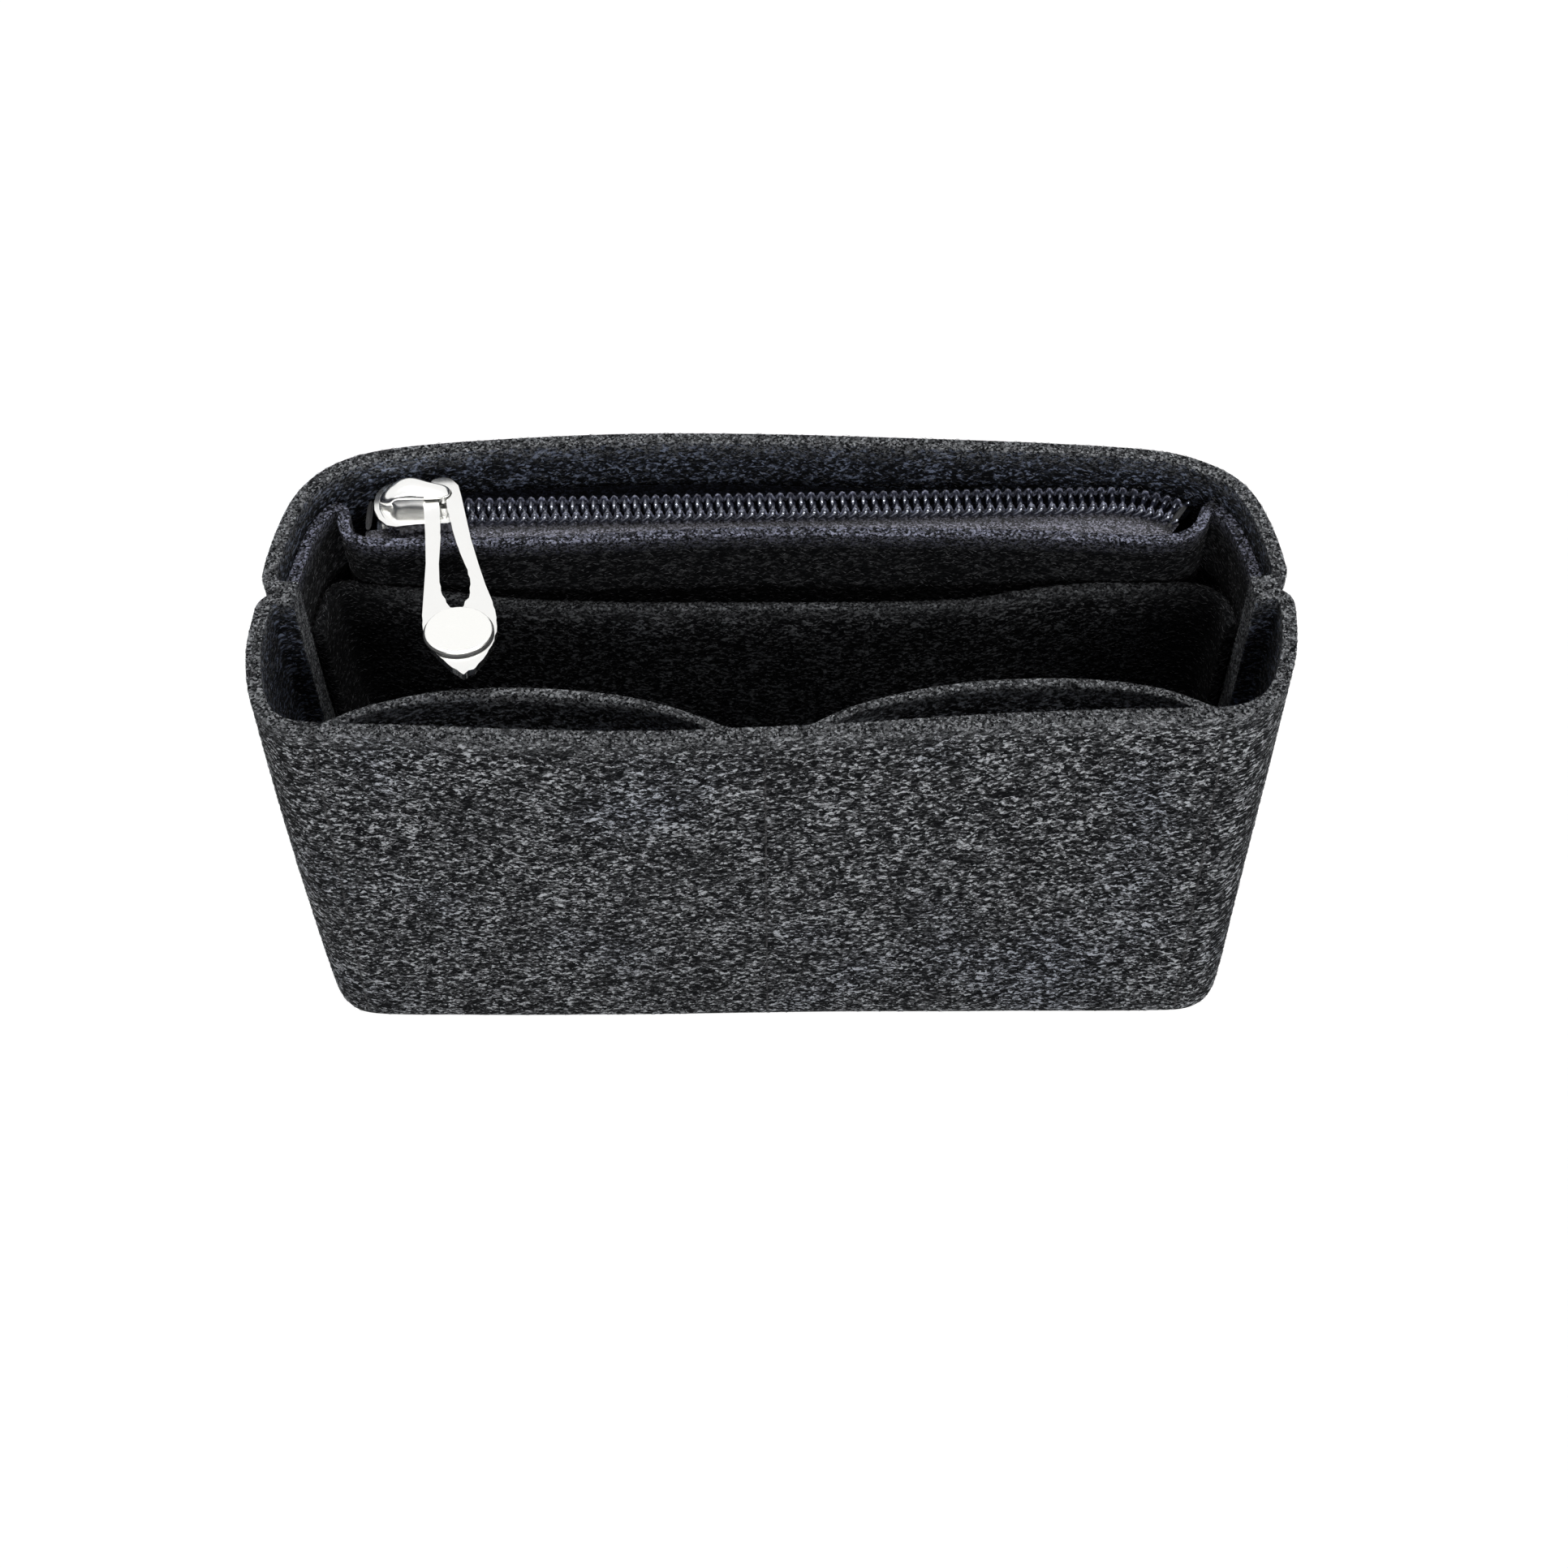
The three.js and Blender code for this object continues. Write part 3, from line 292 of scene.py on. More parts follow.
class Graph:
    """A thin writer of shader or geometry nodes, which places and links them."""

    COLUMNS = 12
    SPACING = (180, -220)

    def __init__(self, tree: NodeTree) -> None:
        """Start writing into a tree, whose inputs a shared tree sets as the source."""
        self.tree = tree
        self.count = 0
        self.source: Any = None

    def fill(self, node: Node, values: dict[Any, Any]) -> None:
        """Fill or link a node's inputs.

        Args:
            node: The node.
            values: Inputs by name or index; a socket is linked and anything else is its value.
        """
        for key, value in values.items():
            if isinstance(value, NodeSocket):
                self.tree.links.new(value, node.inputs[key])
            else:
                node.inputs[key].default_value = value

    def add(self, kind: str, values: Optional[dict[Any, Any]] = None, **settings: Any) -> Node:
        """Add a node, set its options and fill or link its inputs.

        Args:
            kind: The node's type.
            values: Inputs as fill takes them.
            **settings: Options of the node.

        Returns:
            The new node.
        """
        node = self.tree.nodes.new(kind)
        row, column = divmod(self.count, self.COLUMNS)
        node.location = (self.SPACING[0] * column, self.SPACING[1] * row)
        self.count += 1
        for name, value in settings.items():
            setattr(node, name, value)
        self.fill(node, values or {})
        return node

    def maths(self, operation: str, *terms: Any) -> NodeSocket:
        """The result of a Math node, whose terms are numbers or sockets."""
        return self.add("ShaderNodeMath", dict(enumerate(terms)), operation=operation).outputs[0]

    def vector(self, operation: str, first: Any, second: Any) -> NodeSocket:
        """The result of a Vector Math node, whose second term is a number for SCALE."""
        values = {0: first, "Scale" if operation == "SCALE" else 1: second}
        return self.add("ShaderNodeVectorMath", values, operation=operation).outputs[0]

    def combined(self, *parts: Any) -> NodeSocket:
        """A vector of up to three parts, as numbers or sockets."""
        return self.add("ShaderNodeCombineXYZ", dict(enumerate(parts))).outputs[0]

    def part(self, vector: NodeSocket, index: int) -> NodeSocket:
        """One part of a vector or colour, by its index."""
        return self.add("ShaderNodeSeparateXYZ", {0: vector}).outputs[index]

    def mixed(self, share: Any, first: Any, second: Any) -> NodeSocket:
        """Mix two colours.

        Args:
            share: How much of the second colour, as a number or socket.
            first: The first colour or socket.
            second: The second colour or socket.

        Returns:
            The mixed colour's socket.
        """
        values = {0: share}
        for index, colour in ((6, first), (7, second)):
            values[index] = colour if isinstance(colour, NodeSocket) else (*colour, 1.0)
        return self.add("ShaderNodeMix", values, data_type="RGBA").outputs[2]

    def ranged(self, value: Any, low: Any, high: Any) -> NodeSocket:
        """A value from low..high as 0..1, with soft ends."""
        inputs = {"Value": value, "From Min": low, "From Max": high}
        return self.add("ShaderNodeMapRange", inputs, interpolation_type="SMOOTHSTEP").outputs[0]

    def place(self, scale: Optional[float] = None) -> NodeSocket:
        """Object coordinates, in metres or times a scale."""
        place = self.add("ShaderNodeTexCoord").outputs["Object"]
        return place if scale is None else self.vector("SCALE", place, scale)

    def noise(self, place: NodeSocket, scale: Any, detail: float) -> NodeSocket:
        """A noise texture's value, of a given scale and detail."""
        values = {"Vector": place, "Scale": scale, "Detail": detail}
        return self.add("ShaderNodeTexNoise", values).outputs["Fac"]

    def cells(self, place: NodeSocket, scale: float) -> NodeSocket:
        """A random tone to each cell of a Voronoi texture."""
        cells = self.add("ShaderNodeTexVoronoi", {"Vector": place, "Scale": scale})
        return self.part(cells.outputs["Color"], 0)

    def attribute(self, name: str) -> NodeSocket:
        """The value of a mesh attribute."""
        return self.add("ShaderNodeAttribute", attribute_name=name).outputs["Fac"]

    def bump(self, height: NodeSocket, strength: float, depth: float) -> NodeSocket:
        """A normal that a height bends, with the bump's strength and its depth in metres."""
        return self.add("ShaderNodeBump", {"Height": height, "Strength": strength, "Distance": depth}).outputs[0]

    def seen(self) -> NodeSocket:
        """1 for rays from the camera, from reflections and through glass, otherwise 0."""
        path = self.add("ShaderNodeLightPath").outputs
        direct = self.maths("MAXIMUM", path["Is Camera Ray"], path["Is Glossy Ray"])
        return self.maths("MAXIMUM", direct, path["Is Transmission Ray"])


Sockets = dict[str, NodeSocket]


def shared_tree(
    kind: str,
    name: str,
    inputs: dict[str, tuple[str, Any]],
    outputs: dict[str, str],
    draw: Callable[[Graph], Sockets],
) -> NodeTree:
    """Find a node group, or make it the first time.

    Args:
        kind: The tree's type.
        name: The group's name.
        inputs: Input names with their kind of socket and default value.
        outputs: Output names with their kind of socket.
        draw: Writes the nodes that follow the writer's source, and returns the outputs' sockets.

    Returns:
        The group.
    """
    if name in bpy.data.node_groups:
        return bpy.data.node_groups[name]
    tree = bpy.data.node_groups.new(name, kind)
    for label, (socket_kind, value) in inputs.items():
        socket = tree.interface.new_socket(label, in_out="INPUT", socket_type=f"NodeSocket{socket_kind}")
        if value is not None:
            socket.default_value = value
    for label, socket_kind in outputs.items():
        tree.interface.new_socket(label, in_out="OUTPUT", socket_type=f"NodeSocket{socket_kind}")
    g = Graph(tree)
    g.source = g.add("NodeGroupInput").outputs
    g.add("NodeGroupOutput", draw(g))
    return tree


# Shader node groups


def shader_group(
    name: str, inputs: dict[str, float], outputs: Iterable[str], draw: Callable[[Graph], Sockets]
) -> NodeTree:
    """A shared shader node group whose inputs and outputs are numbers."""
    numbers = {label: ("Float", value) for label, value in inputs.items()}
    return shared_tree("ShaderNodeTree", name, numbers, dict.fromkeys(outputs, "Float"), draw)


def draw_fibres(g: Graph) -> Sockets:
    """Draw one layer of short felt tufts that lean one way, each of its own tone.

    Args:
        g: The group's writer.

    Returns:
        The sockets of Mask, Height and Tone.
    """
    source, in_mm = g.source, g.place(PER_METRE)
    sway = g.add("ShaderNodeTexNoise", {"Vector": in_mm, "Scale": 0.9, "Detail": 4.0, "Roughness": 0.62})
    centred = g.vector("SUBTRACT", sway.outputs["Color"], (0.5, 0.5, 0.5))
    moved = g.vector("ADD", in_mm, g.vector("SCALE", centred, 0.9))
    turn = g.combined(source["Lean"], source["Lean"])
    shift = g.combined(source["Shift"], source["Shift"])
    leaned = g.add("ShaderNodeMapping", {"Vector": moved, "Rotation": turn, "Location": shift}).outputs[0]
    long = g.maths("DIVIDE", 1.0, source["Length"])
    thin = g.maths("DIVIDE", 1.0, source["Thickness"])
    drawn = g.vector("MULTIPLY", leaned, g.combined(long, long, thin))
    height = g.noise(drawn, 1.0, 2.0)
    edge = g.maths("SUBTRACT", 0.76, g.maths("MULTIPLY", source["Cover"], 0.4))
    mask = g.ranged(height, edge, g.maths("ADD", edge, 0.09))
    return {"Mask": mask, "Height": height, "Tone": g.cells(drawn, 1.0)}


def draw_weave(g: Graph) -> Sockets:
    """Draw a close twill weave, as on the zip tape and the thread.

    Args:
        g: The group's writer.

    Returns:
        The sockets of Mask and Height.
    """
    source, in_mm = g.source, g.place(PER_METRE)
    parts = g.add("ShaderNodeSeparateXYZ", {0: in_mm}).outputs
    turns = g.maths("DIVIDE", FULL_TURN, source["Pitch"])
    across = g.maths("SUBTRACT", parts[1], g.maths("MULTIPLY", parts[2], 0.8))
    warp = g.maths("SINE", g.maths("MULTIPLY", g.maths("ADD", parts[0], across), turns))
    weft = g.maths("SINE", g.maths("MULTIPLY", g.maths("SUBTRACT", parts[0], across), turns))
    weave = g.maths("MULTIPLY_ADD", g.maths("MULTIPLY", warp, weft), 0.5, 0.5)
    speck = g.ranged(g.noise(in_mm, 2.6, 3.0), 0.35, 0.68)
    fuzzed = g.add("ShaderNodeMix", {0: source["Fuzz"], 2: weave, 3: speck}).outputs[0]
    return {"Mask": fuzzed, "Height": fuzzed}


def draw_wear(g: Graph) -> Sockets:
    """Draw the fine scratches and cloudy handling marks of plated metal.

    Args:
        g: The group's writer.

    Returns:
        The sockets of Mask and Height.
    """
    source, in_mm = g.source, g.place(PER_METRE)
    cloud = g.noise(in_mm, source["Cloud"], 3.0)
    scratch = g.noise(g.vector("MULTIPLY", in_mm, (0.3, 2.0, 2.0)), source["Scratch"], 2.0)
    lines = g.ranged(scratch, 0.62, 0.7)
    both = g.maths("MULTIPLY_ADD", lines, 0.35, g.maths("MULTIPLY", cloud, 0.65))
    return {"Mask": both, "Height": scratch}


def fibre_group() -> NodeTree:
    """Group for one layer of felt tufts."""
    inputs = {"Length": 1.0, "Thickness": 0.15, "Lean": 0.0, "Cover": 0.5, "Shift": 0.0}
    return shader_group("felt_fibre_layer", inputs, ("Mask", "Height", "Tone"), draw_fibres)


def weave_group() -> NodeTree:
    """Group for a close weave."""
    return shader_group("close_weave", {"Pitch": 0.35, "Fuzz": 0.4}, ("Mask", "Height"), draw_weave)


def wear_group() -> NodeTree:
    """Group for handling marks on metal."""
    return shader_group("handling_marks", {"Cloud": 0.4, "Scratch": 6.0}, ("Mask", "Height"), draw_wear)


# Finishes


def base_material(name: str) -> tuple[Material, Graph, Node]:
    """Make a material with a bare Principled shader.

    Args:
        name: The material's name.

    Returns:
        The material, its graph writer and the shader node.
    """
    material = bpy.data.materials.new(name)
    material.use_nodes = True
    material.node_tree.nodes.clear()
    g = Graph(material.node_tree)
    shader = g.add("ShaderNodeBsdfPrincipled")
    g.add("ShaderNodeOutputMaterial", {"Surface": shader.outputs[0]})
    return material, g, shader


@dataclass(frozen=True)
class FeltFinish:
    """Heather felt: tufts of many tones on a dark ground, a few long pale fibres, paler cut edges.

    Each layer has its tufts' length, thickness and lean, and a shift of its pattern. The shade fields paint shade
    into the colour: the whole piece, its wall faces turned inside and its ends darken towards the ground.
    """

    name: str
    ground: Colour = (0.0035, 0.004, 0.005)
    light: Colour = (0.62, 0.64, 0.67)
    cool: Colour = (0.36, 0.43, 0.62)
    # Share of the colour kept; lower values darken the whole piece towards the ground as painted shade.
    shade: float = 1.0
    # Share of the colour kept on wall faces turned inside, as painted shade; inner_cool tints those faces towards the
    # cool colour.
    painted_inner_shade: float = 0.6
    inner_cool: float = 0.9
    contrast: float = 2.6
    gain: float = 2.5
    cover: float = 0.42
    cut_gain: float = 1.0
    cut_light: Colour = (0.62, 0.64, 0.67)
    cut_share: float = 0.85
    # Painted shade at the ends: beyond this distance from the middle in x the colour darkens towards the ground.
    painted_end_shade: float = 0.0
    painted_end_shade_length: float = 14.0 * MM
    painted_end_shade_share: float = 0.88
    seams: tuple[float, ...] = ()
    seam_colour: Colour = (0.008, 0.008, 0.009)
    layers: tuple[tuple[float, float, float, float], ...] = (
        (0.80, 0.30, 0.40, 0.0),
        (0.72, 0.29, -0.42, 7.0),
        (1.6, 0.26, 0.04, 19.0),
        (0.50, 0.34, 0.95, 31.0),
    )

    def material(self) -> Material:
        """Build the felt's material.

        Returns:
            The material.
        """
        material, g, shader = base_material(self.name)
        first, second, long_ones, crossing = [self._layer(g, *layer) for layer in self.layers]
        place = g.place()
        inner = g.attribute("inner_face")
        tone = g.maths("MULTIPLY", first["Tone"], second["Tone"])
        sharp = g.maths("MULTIPLY_ADD", crossing["Tone"], 1.0, 0.5)
        clouded = g.maths("MULTIPLY_ADD", g.ranged(g.noise(place, 150.0, 3.0), 0.3, 0.7), 0.4, 0.8)
        fine = g.maths("MULTIPLY_ADD", g.ranged(long_ones["Height"], 0.36, 0.64), 0.7, 0.65)
        even = g.maths("MULTIPLY", g.maths("MULTIPLY", tone, sharp), g.maths("MULTIPLY", clouded, fine))
        share = g.maths("MINIMUM", g.maths("MULTIPLY", g.maths("POWER", even, self.contrast), self.gain), 1.0)
        cooled = g.maths("MULTIPLY", g.ranged(g.noise(place, 34.0, 2.0), 0.5, 0.75), 0.3)
        # Wall faces turned inside are tinted towards the cool colour.
        cooled = g.maths("MAXIMUM", cooled, g.maths("MULTIPLY", inner, self.inner_cool))
        pale = g.mixed(cooled, self.light, self.cool)
        colour = g.mixed(share, self.ground, pale)
        colour = g.mixed(g.maths("MULTIPLY", long_ones["Mask"], 0.12), colour, pale)
        # Painted shade: the piece, and more so its wall faces turned inside, darken towards the ground.
        kept = g.maths("MULTIPLY_ADD", inner, self.painted_inner_shade - self.shade, self.shade)
        colour = g.mixed(g.maths("SUBTRACT", 1.0, kept), colour, self.ground)
        colour = self._cut_edges(g, place, colour)
        # Painted shade: darker towards both ends in x.
        if self.painted_end_shade:
            ends = g.ranged(g.maths("ABSOLUTE", g.part(place, 0)), self.painted_end_shade, self.painted_end_shade + self.painted_end_shade_length)
            colour = g.mixed(g.maths("MULTIPLY", ends, self.painted_end_shade_share), colour, self.ground)
        height = first["Height"]
        for layer in (second, long_ones, crossing):
            height = g.maths("ADD", height, layer["Height"])
        height = g.maths("MULTIPLY_ADD", tone, 1.2, height)
        for middle in self.seams:
            colour, height = self._seam(g, place, middle, colour, height)
        looks = {"Base Color": colour, "Normal": g.bump(height, 0.6, 0.28 * MM), "Roughness": 0.95}
        sheen = {"Specular IOR Level": 0.02, "Sheen Weight": 0.03, "Sheen Roughness": 0.5}
        g.fill(shader, looks | sheen)
        return material

    def _layer(self, g: Graph, length: float, thickness: float, lean: float, shift: float) -> Any:
        """Place one fibre layer with its own values, and give its outputs."""
        values = {"Length": length, "Thickness": thickness, "Lean": lean, "Cover": self.cover, "Shift": shift}
        return g.add("ShaderNodeGroup", values, node_tree=fibre_group()).outputs

    def _cut_edges(self, g: Graph, place: NodeSocket, colour: NodeSocket) -> NodeSocket:
        """Speckle the edges where the felt is cut through.

        Args:
            g: The material's graph writer.
            place: Object coordinates.
            colour: The colour so far.

        Returns:
            The new colour.
        """
        flecks = g.maths("POWER", g.cells(place, 3600.0), 3.0)
        speckled = g.mixed(g.maths("MULTIPLY", flecks, 1.1 * self.cut_gain), self.ground, self.cut_light)
        return g.mixed(g.maths("MULTIPLY", g.attribute("cut_edge"), self.cut_share), colour, speckled)

    def _seam(
        self, g: Graph, place: NodeSocket, middle: float, colour: NodeSocket, height: NodeSocket
    ) -> tuple[NodeSocket, NodeSocket]:
        """Draw in the felt along a vertical line of stitches.

        Args:
            g: The material's graph writer.
            place: Object coordinates.
            middle: The seam's X in metres.
            colour: The colour so far.
            height: The height so far.

        Returns:
            The new colour and height.
        """
        away = g.maths("ABSOLUTE", g.maths("SUBTRACT", g.part(place, 0), middle))
        near = g.ranged(away, 0.45 * MM, 0.1 * MM)
        darker = g.mixed(g.maths("MULTIPLY", near, 0.45), colour, self.seam_colour)
        return darker, g.maths("SUBTRACT", height, g.maths("MULTIPLY", near, 0.9))


@dataclass(frozen=True)
class WovenFinish:
    """Woven or twisted yarn: the zip tape and the sewing thread."""

    name: str
    low: Colour
    high: Colour
    pitch: float = 0.42
    fuzz: float = 0.4
    roughness: float = 0.8
    slub: float = 0.4
    sheen: float = 0.15
    shine: float = 0.3

    def material(self) -> Material:
        """Build the yarn's material.

        Returns:
            The material.
        """
        material, g, shader = base_material(self.name)
        values = {"Pitch": self.pitch, "Fuzz": self.fuzz}
        weave = g.add("ShaderNodeGroup", values, node_tree=weave_group()).outputs
        grain = g.maths("POWER", g.cells(g.place(), PER_METRE / self.slub), 2.0)
        share = g.maths("MULTIPLY", g.maths("MULTIPLY_ADD", weave["Mask"], 0.6, 0.4), grain)
        looks = {"Base Color": g.mixed(share, self.low, self.high), "Normal": g.bump(weave["Height"], 0.5, 0.12 * MM)}
        shine = {"Roughness": self.roughness, "Specular IOR Level": self.shine, "Sheen Weight": self.sheen}
        g.fill(shader, looks | shine)
        return material


@dataclass(frozen=True)
class FilamentFinish:
    """Glossy nylon monofilament of the zip coil."""

    name: str = "coil_monofilament"
    low: Colour = (0.002, 0.002, 0.006)
    high: Colour = (0.012, 0.013, 0.03)
    tint: Colour = (0.78, 0.84, 1.0)

    def material(self) -> Material:
        """Build the filament's material.

        Returns:
            The material.
        """
        material, g, shader = base_material(self.name)
        place = g.place()
        drift = g.noise(place, 700.0, 2.0)
        looks = {
            "Base Color": g.mixed(drift, self.low, self.high),
            "Roughness": g.maths("MULTIPLY_ADD", drift, 0.12, 0.22),
            "Normal": g.bump(g.noise(place, 4200.0, 1.0), 0.12, 0.03 * MM),
            "IOR": 2.1,
            "Coat Weight": 1.0,
            "Coat Roughness": 0.05,
            "Specular Tint": (*self.tint, 1.0),
        }
        g.fill(shader, looks)
        return material


@dataclass(frozen=True)
class NickelFinish:
    """Bright nickel plating with light handling marks."""

    name: str
    colour: Colour = (0.93, 0.93, 0.915)
    worn: Colour = (0.80, 0.785, 0.76)
    gloss: float = 0.14

    def material(self) -> Material:
        """Build the plating's material.

        Returns:
            The material.
        """
        material, g, shader = base_material(self.name)
        marks = g.add("ShaderNodeGroup", {"Cloud": 0.35, "Scratch": 5.0}, node_tree=wear_group()).outputs
        looks = {
            "Base Color": g.mixed(g.maths("MULTIPLY", marks["Mask"], 0.5), self.colour, self.worn),
            "Roughness": g.maths("MULTIPLY_ADD", marks["Mask"], 0.14, self.gloss),
            "Normal": g.bump(marks["Height"], 0.05, 0.03 * MM),
            "Metallic": 1.0,
        }
        g.fill(shader, looks)
        return material


@dataclass(frozen=True)
class StrandFinish:
    """Loose felt fibres, each a little lighter or darker than the next."""

    name: str
    dark: Colour = (0.03, 0.032, 0.036)
    light: Colour = (0.34, 0.35, 0.365)

    def material(self) -> Material:
        """Build the strands' material.

        Returns:
            The material.
        """
        material, g, shader = base_material(self.name)
        colour = g.mixed(g.attribute("strand_shade"), self.dark, self.light)
        g.fill(shader, {"Base Color": colour, "Roughness": 0.85, "Specular IOR Level": 0.2})
        return material


# Geometry node trees


def geometry_group(
    name: str, inputs: dict[str, tuple[str, Any]], draw: Callable[[Graph], Sockets]
) -> NodeTree:
    """A shared geometry tree with a geometry input and output, and a material to set."""
    sockets = {"Geometry": ("Geometry", None)} | inputs | {"Material": ("Material", None)}
    return shared_tree("GeometryNodeTree", name, sockets, {"Geometry": "Geometry"}, draw)


def dressed(g: Graph, instances: NodeSocket) -> Sockets:
    """The tree's output: its instances realized and given its material."""
    values = {0: g.add("GeometryNodeRealizeInstances", {0: instances}).outputs[0], "Material": g.source["Material"]}
    return {"Geometry": g.add("GeometryNodeSetMaterial", values).outputs[0]}


def draw_row(g: Graph) -> Sockets:
    """Set one shape at even steps along a path, upright to a given direction.

    Args:
        g: The tree's writer.

    Returns:
        The tree's output.
    """
    source = g.source
    curve = g.add("GeometryNodeMeshToCurve", {0: source["Geometry"]}).outputs[0]
    step = {"Curve": curve, "Length": source["Step"]}
    points = g.add("GeometryNodeCurveToPoints", step, mode="LENGTH").outputs
    along = {"Vector": points["Tangent"]}
    turned = g.add("FunctionNodeAlignRotationToVector", along, axis="X").outputs[0]
    upright = {"Rotation": turned, "Vector": source["Up"]}
    placed = g.add("FunctionNodeAlignRotationToVector", upright, axis="Z", pivot_axis="X").outputs[0]
    shape = g.add("GeometryNodeObjectInfo", {"Object": source["Shape"]}).outputs["Geometry"]
    inputs = {"Points": points["Points"], "Instance": shape, "Rotation": placed}
    return dressed(g, g.add("GeometryNodeInstanceOnPoints", inputs).outputs[0])


def draw_strands(g: Graph) -> Sockets:
    """Strew short bent strands over a felt surface, mostly lying level.

    Args:
        g: The tree's writer.

    Returns:
        The tree's output.
    """
    source = g.source
    edge = g.add("GeometryNodeInputNamedAttribute", {"Name": "cut_edge"}, data_type="FLOAT").outputs[0]
    more = g.maths("MULTIPLY_ADD", edge, source["Edge Gain"], 1.0)
    density = g.maths("MULTIPLY", more, source["Per Square Metre"])
    inputs = {"Mesh": source["Geometry"], "Density": density, "Seed": source["Seed"]}
    points = g.add("GeometryNodeDistributePointsOnFaces", inputs).outputs
    stood = g.add("FunctionNodeAlignRotationToVector", {"Vector": points["Normal"]}, axis="Z").outputs[0]
    level = g.vector("CROSS_PRODUCT", (0.0, 0.0, 1.0), points["Normal"])
    laid = {"Rotation": stood, "Vector": level}
    laid_out = g.add("FunctionNodeAlignRotationToVector", laid, axis="X", pivot_axis="Z").outputs[0]
    leaned = g.maths("MULTIPLY", random_value(g, 3, -1.0, 1.0), source["Lean"])
    tipped = g.maths("MULTIPLY", random_value(g, 5, -1.0, 1.0), 0.28)
    spin = g.add("FunctionNodeEulerToRotation", {0: g.combined(0.0, tipped, leaned)}).outputs[0]
    rotated = g.add("FunctionNodeRotateRotation", {0: laid_out, 1: spin}, rotation_space="LOCAL").outputs[0]
    size = g.combined(random_value(g, 8, 0.5, 1.35), 1.0, 1.0)
    shape = g.add("GeometryNodeObjectInfo", {"Object": source["Strand"]}).outputs["Geometry"]
    inputs = {"Points": points["Points"], "Instance": shape, "Rotation": rotated, "Scale": size}
    strewn = g.add("GeometryNodeInstanceOnPoints", inputs).outputs[0]
    shade = g.maths("POWER", random_value(g, 11, 0.0, 1.0), 1.6)
    inputs = {"Geometry": strewn, "Name": "strand_shade", "Value": shade}
    kept = g.add("GeometryNodeStoreNamedAttribute", inputs, data_type="FLOAT", domain="INSTANCE")
    return dressed(g, kept.outputs[0])


def random_value(g: Graph, seed: int, low: float, high: float) -> NodeSocket:
    """A random number between two limits, from a fixed seed."""
    values = {2: low, 3: high, "Seed": seed}
    return g.add("FunctionNodeRandomValue", values, data_type="FLOAT").outputs[1]


def row_tree() -> NodeTree:
    """Tree that repeats a shape along a path."""
    inputs = {"Shape": ("Object", None), "Step": ("Float", 1.0 * MM), "Up": ("Vector", (0.0, 0.0, 1.0))}
    return geometry_group("row_along_path", inputs, draw_row)


def strand_tree() -> NodeTree:
    """Tree that strews strands over a surface."""
    inputs = {
        "Strand": ("Object", None),
        "Per Square Metre": ("Float", 1.0e6),
        "Edge Gain": ("Float", 2.0),
        "Lean": ("Float", 0.8),
        "Seed": ("Int", 1),
    }
    return geometry_group("strands_on_felt", inputs, draw_strands)


def run_nodes(obj: Object, tree: NodeTree, values: dict[str, Any]) -> None:
    """Run a geometry tree on an object and keep the mesh that it makes.

    Args:
        obj: The object.
        tree: The tree.
        values: Values by the inputs' names.
    """
    modifier = obj.modifiers.new(tree.name, "NODES")
    modifier.node_group = tree
    for item in tree.interface.items_tree:
        if item.item_type == "SOCKET" and item.in_out == "INPUT" and item.name in values:
            modifier[item.identifier] = values[item.name]
    baked(obj)


def row_object(name: str, path: Sequence[Vector], values: dict[str, Any]) -> Object:
    """Repeat a shape along a path.

    Args:
        name: The row's name.
        path: Points of the path.
        values: The row tree's inputs by name.

    Returns:
        The row as one piece.
    """
    mesh = bpy.data.meshes.new(name)
    mesh.from_pydata(path, [(i, i + 1) for i in range(len(path) - 1)], [])
    obj = new_object(name, mesh)
    run_nodes(obj, row_tree(), values)
    shade_smooth(obj.data)
    return obj


# Felt


